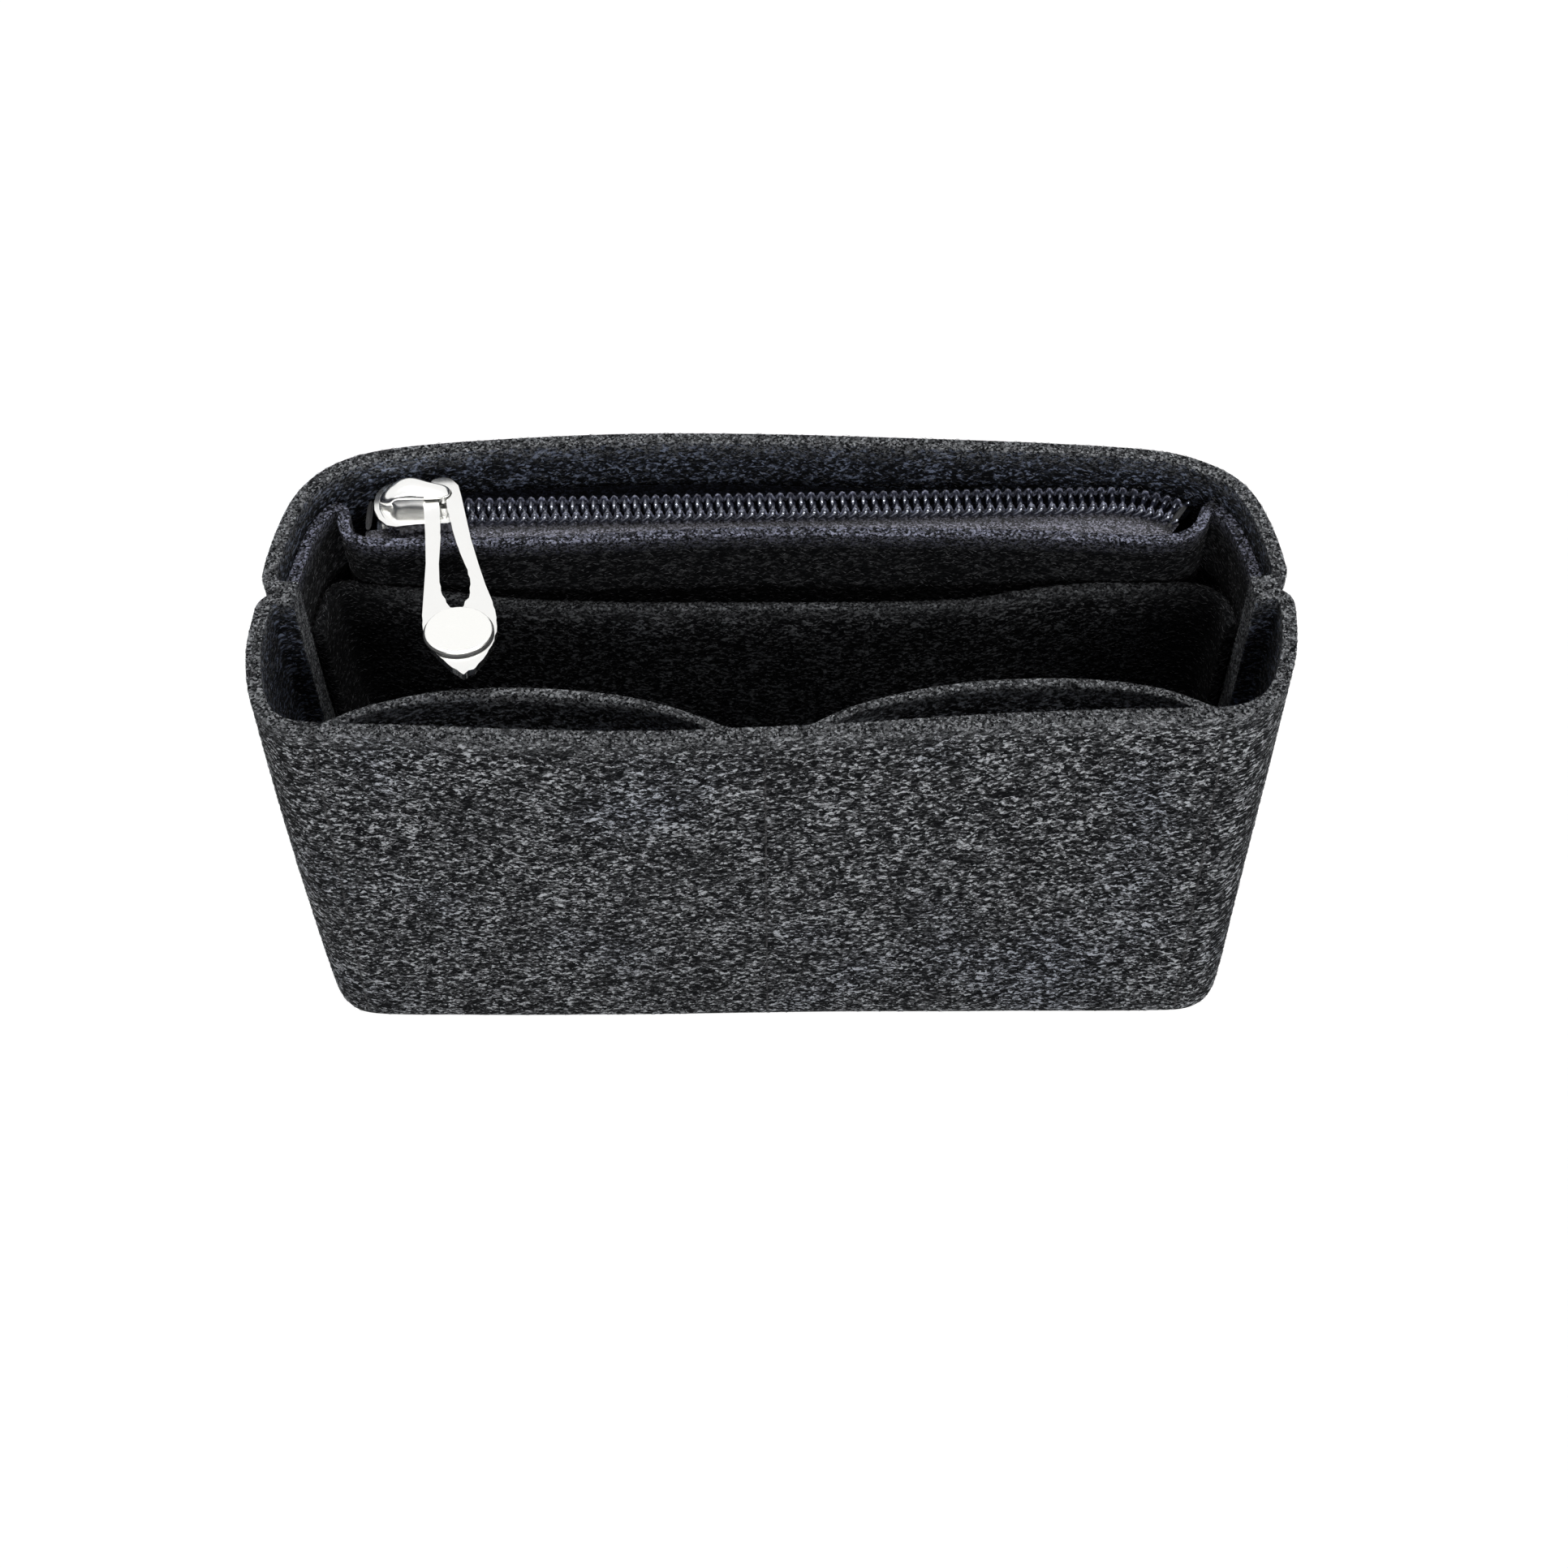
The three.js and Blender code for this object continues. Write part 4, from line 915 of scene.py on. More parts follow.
@dataclass
class FeltPiece:
    """A felt panel made finer from its frame node: softened edges, fibres and cut-edge marks."""

    node: str
    finish: FeltFinish
    flat: tuple[float, float]
    strand_seed: int = 1
    slot: str = "inner_felt"
    felt: float = 1.6 * MM
    held: str = "folded"
    edge_radius: float = 0.32 * MM
    levels: int = 2
    # Whether the wall faces turned inside are marked, so that the finish paints shade on them.
    two_sided: bool = False
    seam_growth: float = 0.0
    seam_depth: float = 4.0 * MM
    strands_per_m2: float = 1.1e6
    tree: Optional[BVHTree] = field(default=None, repr=False)

    def build(self, nodes: dict[str, Object]) -> Object:
        """Build the panel and have it replace its node.

        Args:
            nodes: The frame's nodes.

        Returns:
            The finished panel.
        """
        bm = merged_mesh(nodes[self.node])
        join_quads(bm, 35.0)
        if self.seam_growth:
            self._close_side_seams(bm)
        bmesh.ops.bevel(
            bm,
            geom=folds(bm, 48.0),
            offset=self.edge_radius,
            segments=2,
            profile=0.5,
            affect="EDGES",
            clamp_overlap=True,
        )
        self._mark_faces(bm)
        obj = mesh_object(f"felt_{self.node}", bm)
        refine(obj, self.levels)
        cover(obj, self.finish.material())
        faces = [list(p.vertices) for p in obj.data.polygons]
        self.tree = BVHTree.FromPolygons([v.co.copy() for v in obj.data.vertices], faces)
        return fit(obj, Body.INSERT, self.node)

    def _close_side_seams(self, bm: BMesh) -> None:
        """Press the turned-in ends against the other wall's, so that no light shows through the side seams."""
        bm.normal_update()
        rearmost = max(vert.co.y for vert in bm.verts)
        ends = set()
        for face in bm.faces:
            if face.normal.y > 0.9 and face.calc_center_median().y > rearmost - self.seam_depth:
                ends.update(face.verts)
        for vert in ends:
            vert.co.y += self.seam_growth

    def _mark_faces(self, bm: BMesh) -> None:
        """Mark where the felt is cut through, which looks paler, and the wall faces turned inside, which get painted
        shade.
        """
        bm.normal_update()
        tree = BVHTree.FromBMesh(bm)
        cut = bm.verts.layers.float.new("cut_edge")
        inside = bm.verts.layers.float.new("inner_face")
        for face in bm.faces:
            centre = face.calc_center_median()
            flat = Vector((centre.x, centre.y, 0.0))
            marks = []
            if self.two_sided and abs(face.normal.z) < 0.5 and face.normal.dot(flat) < 0.0:
                marks.append(inside)
            hit = tree.ray_cast(centre - face.normal * (0.01 * MM), -face.normal)
            if hit[0] is not None and hit[3] >= 1.6 * self.felt:
                marks.append(cut)
            for vert in face.verts:
                for mark in marks:
                    vert[mark] = 1.0

    def strands(self, felt: Object, strand: Object, finish: Material) -> Object:
        """Strew loose fibres over the panel, apart from the faces that look down.

        Args:
            felt: The finished panel.
            strand: The strand that is repeated.
            finish: The strands' material.

        Returns:
            The fibres as one piece.
        """
        bm = bmesh.new()
        bm.from_mesh(felt.data)
        bmesh.ops.delete(bm, geom=[f for f in bm.faces if f.normal.z < -0.5], context="FACES")
        obj = mesh_object(f"fibres_{self.node}", bm)
        density = self.strands_per_m2 * 1.0
        values = {"Strand": strand, "Per Square Metre": density, "Seed": self.strand_seed, "Material": finish}
        run_nodes(obj, strand_tree(), values)
        fit(obj, Body.INSERT)
        return obj


def strand_object(length: float, radius: float) -> Object:
    """Build one bent strand with pointed ends.

    Args:
        length: Its length in metres.
        radius: Its radius at the middle.

    Returns:
        The strand's object, which the caller removes in the end.
    """
    half, bow, lift, sides = length / 2.0, length * 0.14, radius * 1.5, 3
    bm = bmesh.new()
    ends = [bm.verts.new(p) for p in ((-half, 0.0, -radius), (half, bow * 0.3, -radius))]
    middle = Vector((0.0, bow, lift))
    ring = [bm.verts.new(middle + Vector((0.0, c, s)) * radius) for c, s in circle(sides)]
    for k in range(sides):
        n = (k + 1) % sides
        bm.faces.new((ends[0], ring[n], ring[k]))
        bm.faces.new((ends[1], ring[k], ring[n]))
    bmesh.ops.recalc_face_normals(bm, faces=bm.faces)
    obj = mesh_object("strand", bm)
    shade_smooth(obj.data)
    return obj


# Stitches


@dataclass
class StitchRow:
    """A row of lockstitches laid on a surface along a path."""

    name: str
    path: list[Vector]
    up: Vector
    finish: Material
    stitch: float = 2.3 * MM
    gap: float = 0.55 * MM
    radius: float = 0.14 * MM

    def build(self) -> Object:
        """Build the row.

        Returns:
            The row as one piece.
        """
        drop = self.radius * 1.4 * 0.2
        half = self.stitch / 2.0
        profile = ((-1.0, -2.2), (-0.86, -0.4), (-0.5, 0.4), (0.0, 0.6), (0.5, 0.4), (0.86, -0.4), (1.0, -2.2))
        shape = [Vector((half * x, 0.0, self.radius * z - drop)) for x, z in profile]
        stitch = tube_object("stitch", shape, self.radius, 6)
        step = self.stitch + self.gap
        values = {"Shape": stitch, "Step": step, "Up": tuple(self.up), "Material": self.finish}
        obj = row_object(self.name, self.path, values)
        bpy.data.objects.remove(stitch)
        return fit(obj, Body.INSERT)


def surface_path(tree: BVHTree, starts: Iterable[Vector], aim: Vector) -> list[Vector]:
    """The places where parallel rays meet a surface, without the rays that miss."""
    hits = [tree.ray_cast(start, aim)[0] for start in starts]
    return [hit for hit in hits if hit is not None]


# Zip


@dataclass
class ZipFrame:
    """The zip's own frame and chain path, found from the frame's joints."""

    pull_level: float = 4.2 * MM
    pivot_ahead: float = 4.248 * MM
    chain_start: float = -4.9 * MM
    chain_end: float = 110.67 * MM
    end_radius: float = 20.0 * MM
    end_turn: float = math.radians(30.0)
    split_start: float = 1.55 * MM
    split_length: float = 8.0 * MM
    split_width: float = 2.0 * MM
    matrix: Matrix = field(default_factory=Matrix)

    def find(self, joints: list[dict[str, Any]]) -> ZipFrame:
        """Set the frame's matrix from the slide's and the hinge's axes.

        Args:
            joints: The record's joints.

        Returns:
            The same frame.
        """
        by_name = {joint["name"]: joint for joint in joints}
        along = Vector(by_name["zip_slide"]["axis"]).normalized()
        up = Vector(by_name["pull_swing"]["axis"]).normalized()
        pivot = Vector(by_name["pull_swing"]["pos_m"])
        origin = pivot - up * self.pull_level - along * self.pivot_ahead
        columns = Matrix((along, up.cross(along), up)).transposed()
        self.matrix = Matrix.Translation(origin) @ columns.to_4x4()
        return self

    def on_chain(self, x: float, y: float) -> Vector:
        """Place a point of the straight chain on the real one, which bends at its right end.

        Args:
            x: Distance along the chain.
            y: Distance towards the rear wall.

        Returns:
            The point in the zip's frame.
        """
        straight = self.chain_end - self.end_radius * self.end_turn
        if x <= straight:
            return Vector((x, y, 0.0))
        angle = (x - straight) / self.end_radius
        radius = self.end_radius + y
        return Vector((straight + radius * math.sin(angle), radius * math.cos(angle) - self.end_radius, 0.0))

    def split(self, x: float) -> float:
        """How far each half stands aside of the closed chain near the slider's nose."""
        share = min(max((self.split_start - x) / self.split_length, 0.0), 1.0)
        return self.split_width * share * share * (3.0 - 2.0 * share)

    def up(self) -> Vector:
        """The direction off the tapes."""
        return self.matrix.to_3x3() @ Vector((0.0, 0.0, 1.0))

    def height(self, face: BMFace) -> float:
        """Height of a face's middle off the tapes."""
        return (self.matrix.inverted() @ face.calc_center_median()).z


@dataclass
class CoilHalf:
    """One half of the coil: a monofilament spiral and the thread that sews it down."""

    side: Side
    zip_frame: ZipFrame
    pitch: float = 1.5 * MM
    wire: float = 0.31 * MM
    bottom: float = 0.35 * MM
    top: float = 2.15 * MM
    outer: float = 2.6 * MM
    head: float = -0.5 * MM
    thread: float = 0.17 * MM
    thread_place: float = 1.72 * MM
    path_parts: int = 240

    def build(self, filament: Material, yarn: Material) -> None:
        """Build the spiral and its thread.

        Args:
            filament: The coil's material.
            yarn: The thread's material.
        """
        rear = self.side is Side.REAR
        label, node = ("rear", "coil_back") if rear else ("front", "coil_front")
        shift = self.pitch / 2.0 if rear else self.pitch
        turn = tube_object("turn", self._turn_path(), self.wire, 7)
        loop = tube_object("loop", self._thread_path(), self.thread, 5)
        fit(self._row(f"coil_turns_{label}", turn, shift, filament), Body.INSERT, node)
        fit(self._row(f"coil_thread_{label}", loop, shift, yarn), Body.INSERT)
        for helper in (turn, loop):
            bpy.data.objects.remove(helper)

    def _turn_path(self) -> list[Vector]:
        """Middle line of one turn, from over the outer edge round the head and back under."""
        low = self.bottom + self.wire
        high = self.top - self.wire
        mid = (low + high) / 2.0
        edge = self.outer - self.wire
        nose = self.head + self.wire
        step = self.pitch
        points = [
            (0.0, edge - 0.3 * MM, high),
            (0.0, (edge + nose) / 2.0, high + 0.03 * MM),
            (0.0, nose + 0.3 * MM, high),
            (0.0, nose + 0.06 * MM, high - 0.18 * MM),
            (0.0, nose, mid),
            (0.0, nose + 0.06 * MM, low + 0.18 * MM),
            (0.0, nose + 0.3 * MM, low),
            (step * 0.12, edge - 0.4 * MM, low),
            (step * 0.45, edge - 0.04 * MM, low + 0.16 * MM),
            (step * 0.8, edge, mid),
            (step * 0.97, edge - 0.05 * MM, high - 0.2 * MM),
            (step, edge - 0.3 * MM, high),
        ]
        return [Vector((x, y * float(self.side.value), z)) for x, y, z in points]

    def _thread_path(self) -> list[Vector]:
        """Middle line of one thread loop, over a turn and down between two turns."""
        crest = self.top + self.thread * 0.4
        dip = self.bottom + self.wire * 2.0
        half = self.pitch / 2.0
        y = self.thread_place * float(self.side.value)
        profile = ((-1.0, 0.0), (-0.62, 0.35), (-0.36, 0.86), (0.0, 1.0), (0.36, 0.86), (0.62, 0.35), (1.0, 0.0))
        return [Vector((half * x, y + 0.12 * MM * x, dip + (crest - dip) * z)) for x, z in profile]

    def _row(self, name: str, shape: Object, shift: float, finish: Material) -> Object:
        """Repeat a shape along this half's path, and move it to the zip's place."""
        f = self.zip_frame
        points = []
        for i in range(self.path_parts + 1):
            x = f.chain_start + shift + (f.chain_end - f.chain_start - shift) * i / self.path_parts
            points.append(f.on_chain(x, f.split(x) * float(self.side.value)))
        values = {"Shape": shape, "Step": self.pitch, "Up": (0.0, 0.0, 1.0), "Material": finish}
        obj = row_object(name, points, values)
        obj.data.transform(f.matrix)
        return obj


@dataclass
class SoftStrip:
    """A woven strip or bar tack made finer from its frame node."""

    node: str
    name: str
    slot: str
    edge_radius: float
    levels: int = 2
    flat: Optional[tuple[float, float]] = None
    shrink: float = 0.0

    def build(self, nodes: dict[str, Object], finish: Material) -> Object:
        """Build the strip and have it replace its node.

        Args:
            nodes: The frame's nodes.
            finish: Its material.

        Returns:
            The finished strip.
        """
        bm = merged_mesh(nodes[self.node])
        join_quads(bm, 40.0)
        shrink(bm, self.shrink, from_above=True)
        sharp = folds(bm, 55.0)
        bmesh.ops.bevel(bm, geom=sharp, offset=self.edge_radius, segments=2, affect="EDGES", clamp_overlap=True)
        obj = mesh_object(self.name, bm)
        refine(obj, self.levels)
        cover(obj, finish)
        fit(obj, Body.INSERT, self.node)
        return obj


# Slider


@dataclass
class MetalPiece:
    """A cast metal piece made from its frame node, with its corners rounded over."""

    node: str
    name: str
    body: Body
    slot: str
    edge_radius: float
    edge_slot: int = -1
    shrink: float = 0.0
    corner: float = 0.0
    plain_rear: float = 8.0 * MM

    def build(
        self,
        nodes: dict[str, Object],
        *finishes: Material,
        shape: Optional[Callable[[BMesh], None]] = None,
    ) -> Object:
        """Build the piece and have it replace its node.

        Args:
            nodes: The frame's nodes.
            *finishes: Its material, and that of the faces that the changes put in the second slot.
            shape: Changes to the mesh before its edges are rounded.

        Returns:
            The finished piece.
        """
        bm = merged_mesh(nodes[self.node])
        bmesh.ops.dissolve_limit(bm, angle_limit=math.radians(1.0), verts=bm.verts, edges=bm.edges)
        if self.corner:
            self._round_outline(bm)
        shrink(bm, self.shrink, from_above=False)
        if shape is not None:
            shape(bm)
        bmesh.ops.bevel(
            bm,
            geom=folds(bm, 40.0),
            offset=self.edge_radius,
            segments=3,
            profile=0.5,
            affect="EDGES",
            clamp_overlap=True,
            material=self.edge_slot,
        )
        obj = mesh_object(self.name, bm)
        cover(obj, *finishes)
        shade_smooth(obj.data)
        smoothed = obj.modifiers.new("even", "WEIGHTED_NORMAL")
        smoothed.keep_sharp = False
        return fit(baked(obj), self.body, self.node)

    def _round_outline(self, bm: BMesh) -> None:
        """Round the shallow corners of the outline, apart from the eye at the rear, which has to clear its post."""
        rear = max(vert.co.y for vert in bm.verts) - self.plain_rear
        upright = []
        for edge in folds(bm, 4.0, 50.0):
            first, second = edge.verts[0].co, edge.verts[1].co
            if abs((first - second).normalized().z) > 0.8 and first.y < rear:
                upright.append(edge)
        bmesh.ops.bevel(bm, geom=upright, offset=self.corner, segments=4, affect="EDGES", clamp_overlap=True)


@dataclass
class SliderShape:
    """Changes that bring the frame's plain slider pieces nearer to cast ones."""

    zip_frame: ZipFrame
    plate_foot: float = 2.4 * MM
    plate_middle: float = 3.2 * MM
    plate_level: float = 3.35 * MM
    front_side: float = -1.0 * MM
    front_width: float = 3.4 * MM
    front_growth: float = 1.25 * MM
    nose: float = -6.2 * MM
    taper: float = 3.2 * MM
    rim: float = 0.7 * MM
    step: float = 0.2 * MM
    recess: float = 0.3 * MM
    # Size and place of the dark ring round the disc's foot, a painted shadow.
    shadow_ring_radius: float = 0.2 * MM
    shadow_ring_lift: float = 0.05 * MM
    shadow_ring_parts: int = 72

    def plate(self, bm: BMesh) -> None:
        """Widen the top plate's front edge and sink its middle within a raised rim.

        Args:
            bm: The slider body's mesh.
        """
        zip_frame = self.zip_frame
        back = zip_frame.matrix.inverted()
        for vert in bm.verts:
            place = back @ vert.co
            if place.z > self.plate_foot and place.y < self.front_side:
                along = min(max((place.x - self.nose) / self.taper, 0.0), 1.0)
                upper = 1.0 if place.z > self.plate_middle else 0.5
                place.y -= self.front_growth * along * upper * min(-place.y / self.front_width, 1.0)
                vert.co = zip_frame.matrix @ place
        bm.normal_update()
        up = zip_frame.up()
        level = [f for f in bm.faces if f.normal.dot(up) > 0.99]
        bmesh.ops.dissolve_faces(bm, faces=[f for f in level if zip_frame.height(f) > self.plate_level])
        top = max((f for f in bm.faces if f.normal.dot(up) > 0.99), key=zip_frame.height)
        for width, depth in ((self.rim, 0.0), (self.step, -self.recess)):
            bmesh.ops.inset_region(bm, faces=[top], thickness=width, depth=depth, use_even_offset=True)
        top.material_index = 1

    def disc(self, bm: BMesh) -> None:
        """Give the disc's side faces the second slot, near-black metal that paints the shadow round the disc's rim.

        Args:
            bm: The disc's mesh.
        """
        bm.normal_update()
        up = self.zip_frame.up()
        for face in bm.faces:
            if abs(face.normal.dot(up)) < 0.5:
                face.material_index = 1

    def painted_shadow_ring(self, node: Object, finish: Material) -> Object:
        """Lay a dark ring round the disc's foot, a painted shadow where the disc stands on the pull.

        Args:
            node: The disc's frame node.
            finish: The ring's material.

        Returns:
            The ring.
        """
        bm = merged_mesh(node)
        back = self.zip_frame.matrix.inverted()
        places = [back @ vert.co for vert in bm.verts]
        bm.free()
        level = min(place.z for place in places) + self.shadow_ring_lift
        middle = Vector((sum(p.x for p in places), sum(p.y for p in places), 0.0)) / len(places)
        reach = max(math.hypot(p.x - middle.x, p.y - middle.y) for p in places)
        ring = circle(self.shadow_ring_parts)
        round_foot = [Vector((middle.x + reach * c, middle.y + reach * s, level)) for c, s in ring + ring[:1]]
        path = [self.zip_frame.matrix @ place for place in round_foot]
        obj = tube_object("disc_groove", path, self.shadow_ring_radius, 10)
        cover(obj, finish)
        return fit(obj, Body.PULL)


@dataclass
class SliderCrown:
    """The slider's crown: a domed bridge lofted along the chain, with a foot and a round post.

    Each station has its place, front width, rear width, underside and top, in millimetres.
    """

    zip_frame: ZipFrame
    across: int = 16
    post_place: float = 4.248 * MM
    post_radius: float = 0.95 * MM
    post_levels: tuple[float, ...] = (3.6 * MM, 3.7 * MM, 4.9 * MM, 5.2 * MM)
    stations: tuple[tuple[float, float, float, float, float], ...] = (
        (-4.95, 0.45, 0.10, 3.62, 3.9),
        (-4.7, 0.90, 0.25, 3.62, 4.5),
        (-4.3, 1.30, 0.55, 3.62, 5.15),
        (-3.8, 1.60, 0.90, 3.62, 5.65),
        (-3.2, 1.78, 1.25, 3.62, 6.05),
        (-2.7, 1.84, 1.50, 4.95, 6.3),
        (-1.9, 1.90, 1.85, 4.95, 6.8),
        (-0.9, 1.90, 2.10, 4.95, 7.1),
        (0.2, 1.90, 2.05, 4.95, 7.1),
        (1.2, 1.90, 1.70, 4.95, 6.9),
        (2.2, 1.88, 1.25, 4.95, 6.6),
        (3.2, 1.80, 1.05, 4.95, 6.42),
        (4.1, 1.62, 1.0, 4.95, 6.15),
        (4.8, 1.30, 0.95, 4.95, 5.8),
        (5.2, 0.95, 0.75, 4.95, 5.4),
        (5.38, 0.55, 0.45, 4.95, 5.05),
    )

    def build(self, finish: Material) -> Object:
        """Build the crown and have it replace its node.

        Args:
            finish: Its material.

        Returns:
            The finished crown.
        """
        bm = bmesh.new()
        rings = [self._section(bm, *station) for station in self.stations]
        bridge(bm, rings)
        bm.faces.new(rings[0])
        bm.faces.new(list(reversed(rings[-1])))
        self._post(bm)
        bmesh.ops.recalc_face_normals(bm, faces=bm.faces)
        bm.transform(self.zip_frame.matrix)
        obj = mesh_object("cast_slider_crown", bm)
        cover(obj, finish)
        refine(obj, 1)
        obj.data.set_sharp_from_angle(angle=math.radians(50.0))
        return fit(obj, Body.SLIDER, "slider_crown")

    def _section(self, bm: BMesh, x: float, front: float, rear: float, low: float, top: float) -> list[BMVert]:
        """Add one station's corners, over the dome from the front to the rear."""
        ring = []
        for k in range(self.across + 1):
            angle = math.pi * k / self.across
            width = front if angle < math.pi / 2.0 else rear
            y = -width * math.copysign(abs(math.cos(angle)) ** 0.8, math.cos(angle))
            z = low + (top - low) * math.sin(angle) ** 0.72
            ring.append(bm.verts.new(Vector((x, y, z)) * MM))
        return ring

    def _post(self, bm: BMesh) -> None:
        """Add the round post that the pull's eye turns on."""
        rings = []
        for level in self.post_levels:
            ring = [(self.post_place + self.post_radius * c, self.post_radius * s, level) for c, s in circle(20)]
            rings.append([bm.verts.new(place) for place in ring])
        bridge(bm, rings)
        bm.faces.new(list(reversed(rings[0])))
        bm.faces.new(rings[-1])


# Studio


@dataclass(frozen=True)
class Lamp:
    """A soft rectangular lamp.

    Polished pieces reflect it unless it isn't mirrored. It gives glints only if it lights no matt pieces.
    """

    name: str
    place: Point
    target: Point
    size: tuple[float, float]
    watts: float
    mirrored: bool = True
    lights: bool = True

    def hang(self) -> None:
        """Hang the lamp in the scene."""
        data = bpy.data.lights.new(self.name, "AREA")
        data.shape = "RECTANGLE"
        data.size, data.size_y = self.size
        data.energy = self.watts
        obj = bpy.data.objects.new(self.name, data)
        obj.location = self.place
        obj.visible_glossy = self.mirrored
        obj.visible_diffuse = self.lights
        aim = Vector(self.target) - Vector(self.place)
        obj.rotation_euler = aim.to_track_quat("-Z", "Y").to_euler()
        bpy.context.scene.collection.objects.link(obj)


@dataclass
class Studio:
    """Pale floor, soft lamps and the camera at the photograph's angle."""

    camera_place: Point = (1.35 * MM, -267.15 * MM, 365.9 * MM)
    pitch_down: float = math.radians(52.0)
    focal_pixels: float = 3500.0
    image_pixels: float = 1932.0
    sensor: float = 36.0
    floor_size: float = 3.0
    floor_glow: float = 1.115
    floor_share: float = 0.88
    ambient: float = 0.045
    lamps: tuple[Lamp, ...] = (
        Lamp("front_softbox", (0.0, -1.1, 0.17), (0.0, 0.0, 0.05), (1.6, 0.26), 3.35),
        Lamp("rear_softbox", (0.0, 0.8, 1.08), (0.0, 0.0, 0.04), (1.3, 0.22), 9.0, mirrored=False),
        Lamp("top_strip", (0.0, -0.12, 1.25), (0.0, 0.0, 0.06), (1.2, 0.1), 42.0, lights=False),
        Lamp("front_key", (0.15, -1.0, 0.54), (0.0, 0.0, 0.05), (0.7, 0.25), 3.4),
        Lamp("right_softbox", (1.0, -0.3, 0.9), (0.0, 0.0, 0.04), (0.5, 0.5), 1.6),
    )

    def build(self) -> None:
        """Build the camera, floor, lamps and world."""
        self._camera()
        self._floor()
        for lamp in self.lamps:
            lamp.hang()
        self._world()

    def _camera(self) -> None:
        """Place the camera and make it the scene's."""
        data = bpy.data.cameras.new("camera")
        data.sensor_fit = "HORIZONTAL"
        data.sensor_width = self.sensor
        data.lens = self.focal_pixels / self.image_pixels * self.sensor
        data.clip_start = 0.01
        obj = bpy.data.objects.new("camera", data)
        obj.location = self.camera_place
        obj.rotation_euler = (math.pi / 2.0 - self.pitch_down, 0.0, 0.0)
        bpy.context.scene.collection.objects.link(obj)
        bpy.context.scene.camera = obj

    def _floor(self) -> None:
        """Lay the floor, which the camera sees as white apart from a faint shadow."""
        half = self.floor_size / 2.0
        mesh = bpy.data.meshes.new("studio_floor")
        corners = [(-half, -half, 0.0), (half, -half, 0.0), (half, half, 0.0), (-half, half, 0.0)]
        mesh.from_pydata(corners, [], [(0, 1, 2, 3)])
        obj = new_object("studio_floor", mesh)
        material = bpy.data.materials.new("pale_floor")
        material.use_nodes = True
        material.node_tree.nodes.clear()
        g = Graph(material.node_tree)
        diffuse = g.add("ShaderNodeBsdfDiffuse", {"Color": (0.86, 0.86, 0.86, 1.0)}).outputs[0]
        glow = g.add("ShaderNodeEmission", {"Color": WHITE, "Strength": self.floor_glow}).outputs[0]
        share = g.maths("MULTIPLY", g.seen(), self.floor_share)
        mixed = g.add("ShaderNodeMixShader", {0: share, 1: diffuse, 2: glow})
        g.add("ShaderNodeOutputMaterial", {"Surface": mixed.outputs[0]})
        mesh.materials.append(material)

    def _world(self) -> None:
        """Light the surroundings softly, and show them white to the camera and in reflections."""
        world = bpy.data.worlds.new("studio_world")
        bpy.context.scene.world = world
        world.use_nodes = True
        world.node_tree.nodes.clear()
        g = Graph(world.node_tree)
        soft, white = [
            g.add("ShaderNodeBackground", {"Color": WHITE, "Strength": strength}).outputs[0]
            for strength in (self.ambient, 1.0)
        ]
        mixed = g.add("ShaderNodeMixShader", {0: g.seen(), 1: soft, 2: white})
        g.add("ShaderNodeOutputWorld", {"Surface": mixed.outputs[0]})
        bpy.context.scene.view_settings.view_transform = "Standard"


# The whole insert


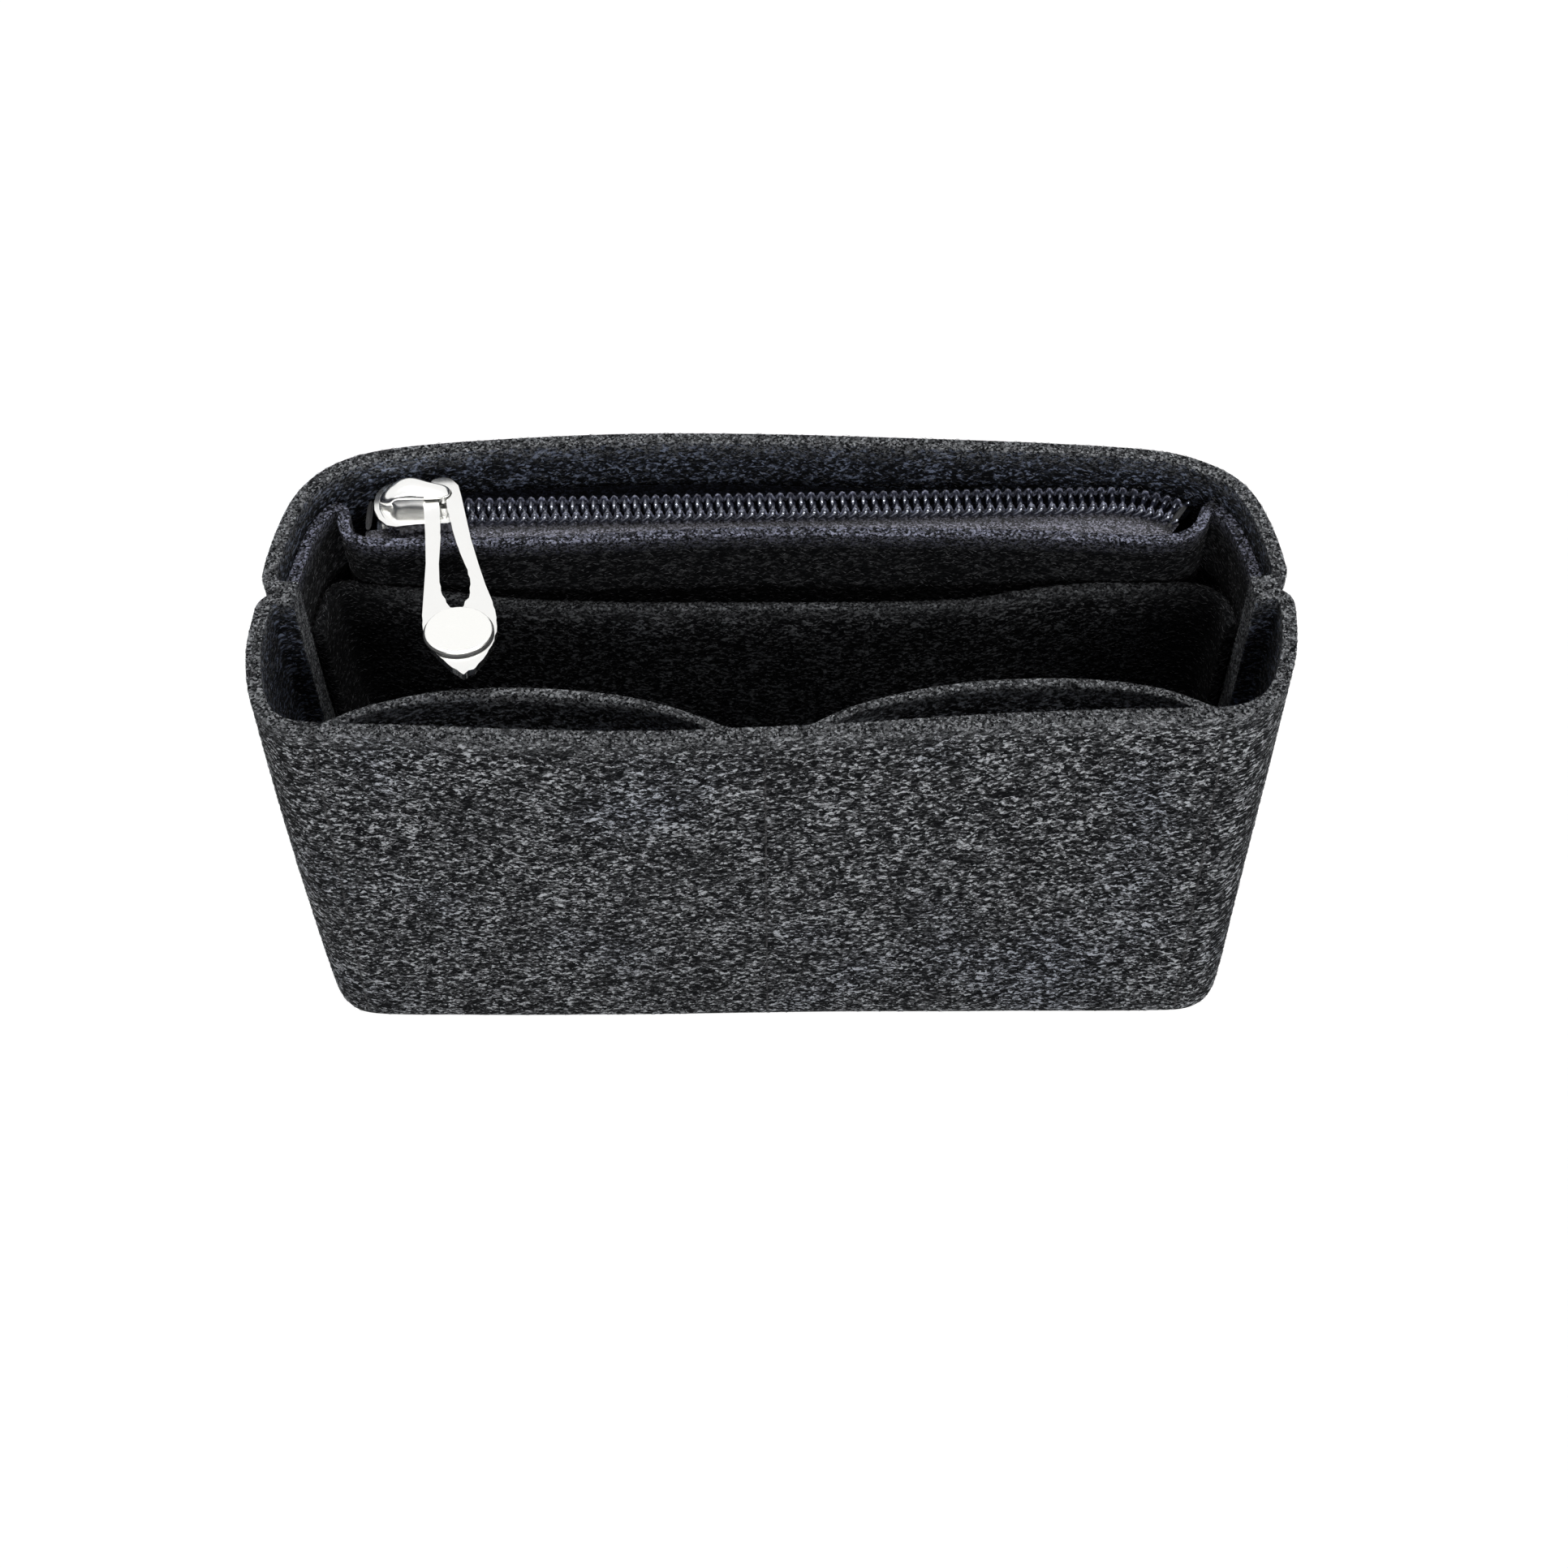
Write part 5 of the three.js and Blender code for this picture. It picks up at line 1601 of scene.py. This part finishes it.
@dataclass
class OrganizerInsert:
    """The insert's sub-assemblies in the order in which they are sewn and fitted."""

    frame: dict[str, Any]
    centre_seam: float = -1.2 * MM
    pocket_seam_inset: float = 2.0 * MM
    outer_felt: float = 2.0 * MM
    strand_length: float = 1.15 * MM
    strand_radius: float = 0.035 * MM
    tape_flat: tuple[float, float] = (0.120, 0.014)

    def build(self) -> None:
        """Build every piece."""
        nodes = self.frame["nodes"]
        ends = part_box("front_pocket_panel")
        seams = (ends[0].x + self.pocket_seam_inset, self.centre_seam, ends[1].x - self.pocket_seam_inset)
        yarn = WovenFinish("charcoal_thread", (0.008, 0.008, 0.01), (0.03, 0.03, 0.034), 0.2, 0.3, 0.7).material()
        zip_frame = ZipFrame().find(self.frame["joints"])
        self._stitches(self._felts(nodes, seams), seams, yarn)
        self._zip(nodes, zip_frame, yarn)
        self._slider(nodes, zip_frame)

    def _felts(self, nodes: dict[str, Object], seams: tuple[float, ...]) -> dict[str, FeltPiece]:
        """Build the felt walls and panels with their loose fibres."""
        front = FeltFinish("heather_felt_front", seams=seams)
        plain = FeltFinish("heather_felt_rear")
        # Copies of the heather felt with painted light and shade: the pocket panel lighter with more pale tufts, the
        # slip darker with darker ends and duller cut edges, the zip pocket panel near-black.
        pocket = FeltFinish("heather_felt_pocket", shade=0.95, contrast=3.0, gain=6.5)
        slip = FeltFinish("heather_felt_slip", shade=0.45, contrast=3.6, gain=7.0, cut_gain=0.62, painted_end_shade=48.0 * MM)
        navy = (0.56, 0.58, 0.76)
        lip = FeltFinish("heather_felt_lip", shade=0.1, contrast=3.2, gain=5.5, cut_gain=1.25, cut_light=navy)
        outer = {"slot": "outer_felt", "felt": self.outer_felt}
        floor = {"held": "laid", "levels": 1, "strands_per_m2": 3e5}
        pieces = (
            # Both shells' wall faces turned inside get painted shade.
            FeltPiece("front_shell", front, (0.190, 0.070), 3, two_sided=True, seam_growth=0.2 * MM, **outer),
            FeltPiece("back_shell", plain, (0.187, 0.070), 4, two_sided=True, **outer),
            FeltPiece("base_panel", plain, (0.142, 0.059), **floor, **outer),
            FeltPiece("front_pocket_panel", pocket, (0.133, 0.064), 5),
            FeltPiece("rear_slip_pocket", slip, (0.150, 0.055), 6),
            FeltPiece("zip_pocket_panel", lip, (0.165, 0.063), 7),
        )
        strand = strand_object(self.strand_length, self.strand_radius)
        finish = StrandFinish("loose_felt_fibre").material()
        for piece in pieces:
            piece.strands(piece.build(nodes), strand, finish)
        bpy.data.objects.remove(strand)
        return {piece.node: piece for piece in pieces}

    def _stitches(self, felts: dict[str, FeltPiece], seams: tuple[float, ...], yarn: Material) -> None:
        """Sew the rows that show on the walls and panels."""
        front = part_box("front_shell")[0].y
        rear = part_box("back_shell")[1].y
        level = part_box("zip_pocket_panel")[1].z - 6.0 * MM
        heights = [z * MM for z in range(3, 67, 2)]
        places = [x * MM for x in range(-52, 54, 2)]
        far = 0.2
        inwards = Vector((0.0, 1.0, 0.0))
        rows = [
            (f"front_{label}", "front_shell", [Vector((x, front - far, z)) for z in heights], inwards)
            for label, x in zip(("left", "centre", "right"), seams)
        ]
        centre = [Vector((self.centre_seam, 0.0, z)) for z in heights if z > 8 * MM]
        rows.append(("pocket_centre", "front_pocket_panel", centre, -inwards))
        tape = [Vector((x, rear + far, level)) for x in places]
        rows.append(("rear_tape", "back_shell", tape, -inwards))
        for label, node, starts, aim in rows:
            StitchRow(f"stitches_{label}", surface_path(felts[node].tree, starts, aim), -aim, yarn).build()

    def _zip(self, nodes: dict[str, Object], zip_frame: ZipFrame, yarn: Material) -> None:
        """Build the tapes, the bar tacks and the coil halves."""
        shown = WovenFinish("navy_zip_tape", (0.003, 0.003, 0.006), (0.82, 0.82, 1.0), 0.3, 0.4, 0.85, slub=0.24)
        # The rear tape is a near-black copy of the tape, as painted shade under the rear wall.
        painted_shade_dim = (0.05, 0.055, 0.085)
        painted_shade_tape = WovenFinish("navy_zip_tape_rear", (0.001, 0.001, 0.002), painted_shade_dim, 0.45, sheen=0.01, shine=0.01)
        for node, tape in (("zip_tape_back", painted_shade_tape), ("zip_tape_front", shown)):
            strip = SoftStrip(node, f"woven_{node}", "zip_tape", 0.12 * MM, flat=self.tape_flat, shrink=0.08 * MM)
            strip.build(nodes, tape.material())
        for node in ("end_tack_left", "end_tack_right"):
            SoftStrip(node, f"sewn_{node}", "thread", 0.25 * MM, 3).build(nodes, yarn)
        filament = FilamentFinish().material()
        # The thread's pale share is partly its own colour and partly painted highlight on the coil's rows of beads.
        sewing = WovenFinish("navy_coil_thread", (0.02, 0.02, 0.04), (0.62, 0.66, 0.9), 0.2, 0.3, 0.5).material()
        for side in Side:
            CoilHalf(side, zip_frame).build(filament, sewing)

    def _slider(self, nodes: dict[str, Object], zip_frame: ZipFrame) -> None:
        """Build the slider, its crown, the pull and the pull's disc."""
        shape = SliderShape(zip_frame)
        nickel = NickelFinish("bright_nickel").material()
        satin = NickelFinish("satin_recess", (0.60, 0.50, 0.46), (0.45, 0.38, 0.36), 0.45).material()
        button = NickelFinish("nickel_button", colour=(0.95, 0.95, 0.925), gloss=0.2).material()
        # Near-black metal that paints the shadow round the pull's disc.
        painted_shadow = NickelFinish("dark_undercut", (0.03, 0.03, 0.03), (0.05, 0.05, 0.05), 0.5).material()
        body = MetalPiece("slider_body", "cast_slider_body", Body.SLIDER, "nickel", 0.18 * MM, shrink=0.16 * MM)
        pull = MetalPiece("pull", "cast_pull", Body.PULL, "nickel", 0.3 * MM, shrink=0.1 * MM, corner=0.9 * MM)
        disc = MetalPiece("pull_disc", "cast_pull_disc", Body.PULL, "nickel_disc", 0.08 * MM, edge_slot=1)
        body.build(nodes, nickel, satin, shape=shape.plate)
        SliderCrown(zip_frame).build(nickel)
        pull.build(nodes, nickel)
        # The disc's sides and rounded edges take the near-black metal, and a dark ring goes round its foot: painted
        # shadow.
        disc.build(nodes, button, painted_shadow, shape=shape.disc)
        shape.painted_shadow_ring(nodes["pull_disc"], painted_shadow)


def main() -> None:
    """Build the dressed insert in its studio."""
    logging.basicConfig(level=logging.INFO, format="%(name)s: %(message)s")
    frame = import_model()
    OrganizerInsert(frame).build()
    Studio().build()


if __name__ == "__main__":
    main()
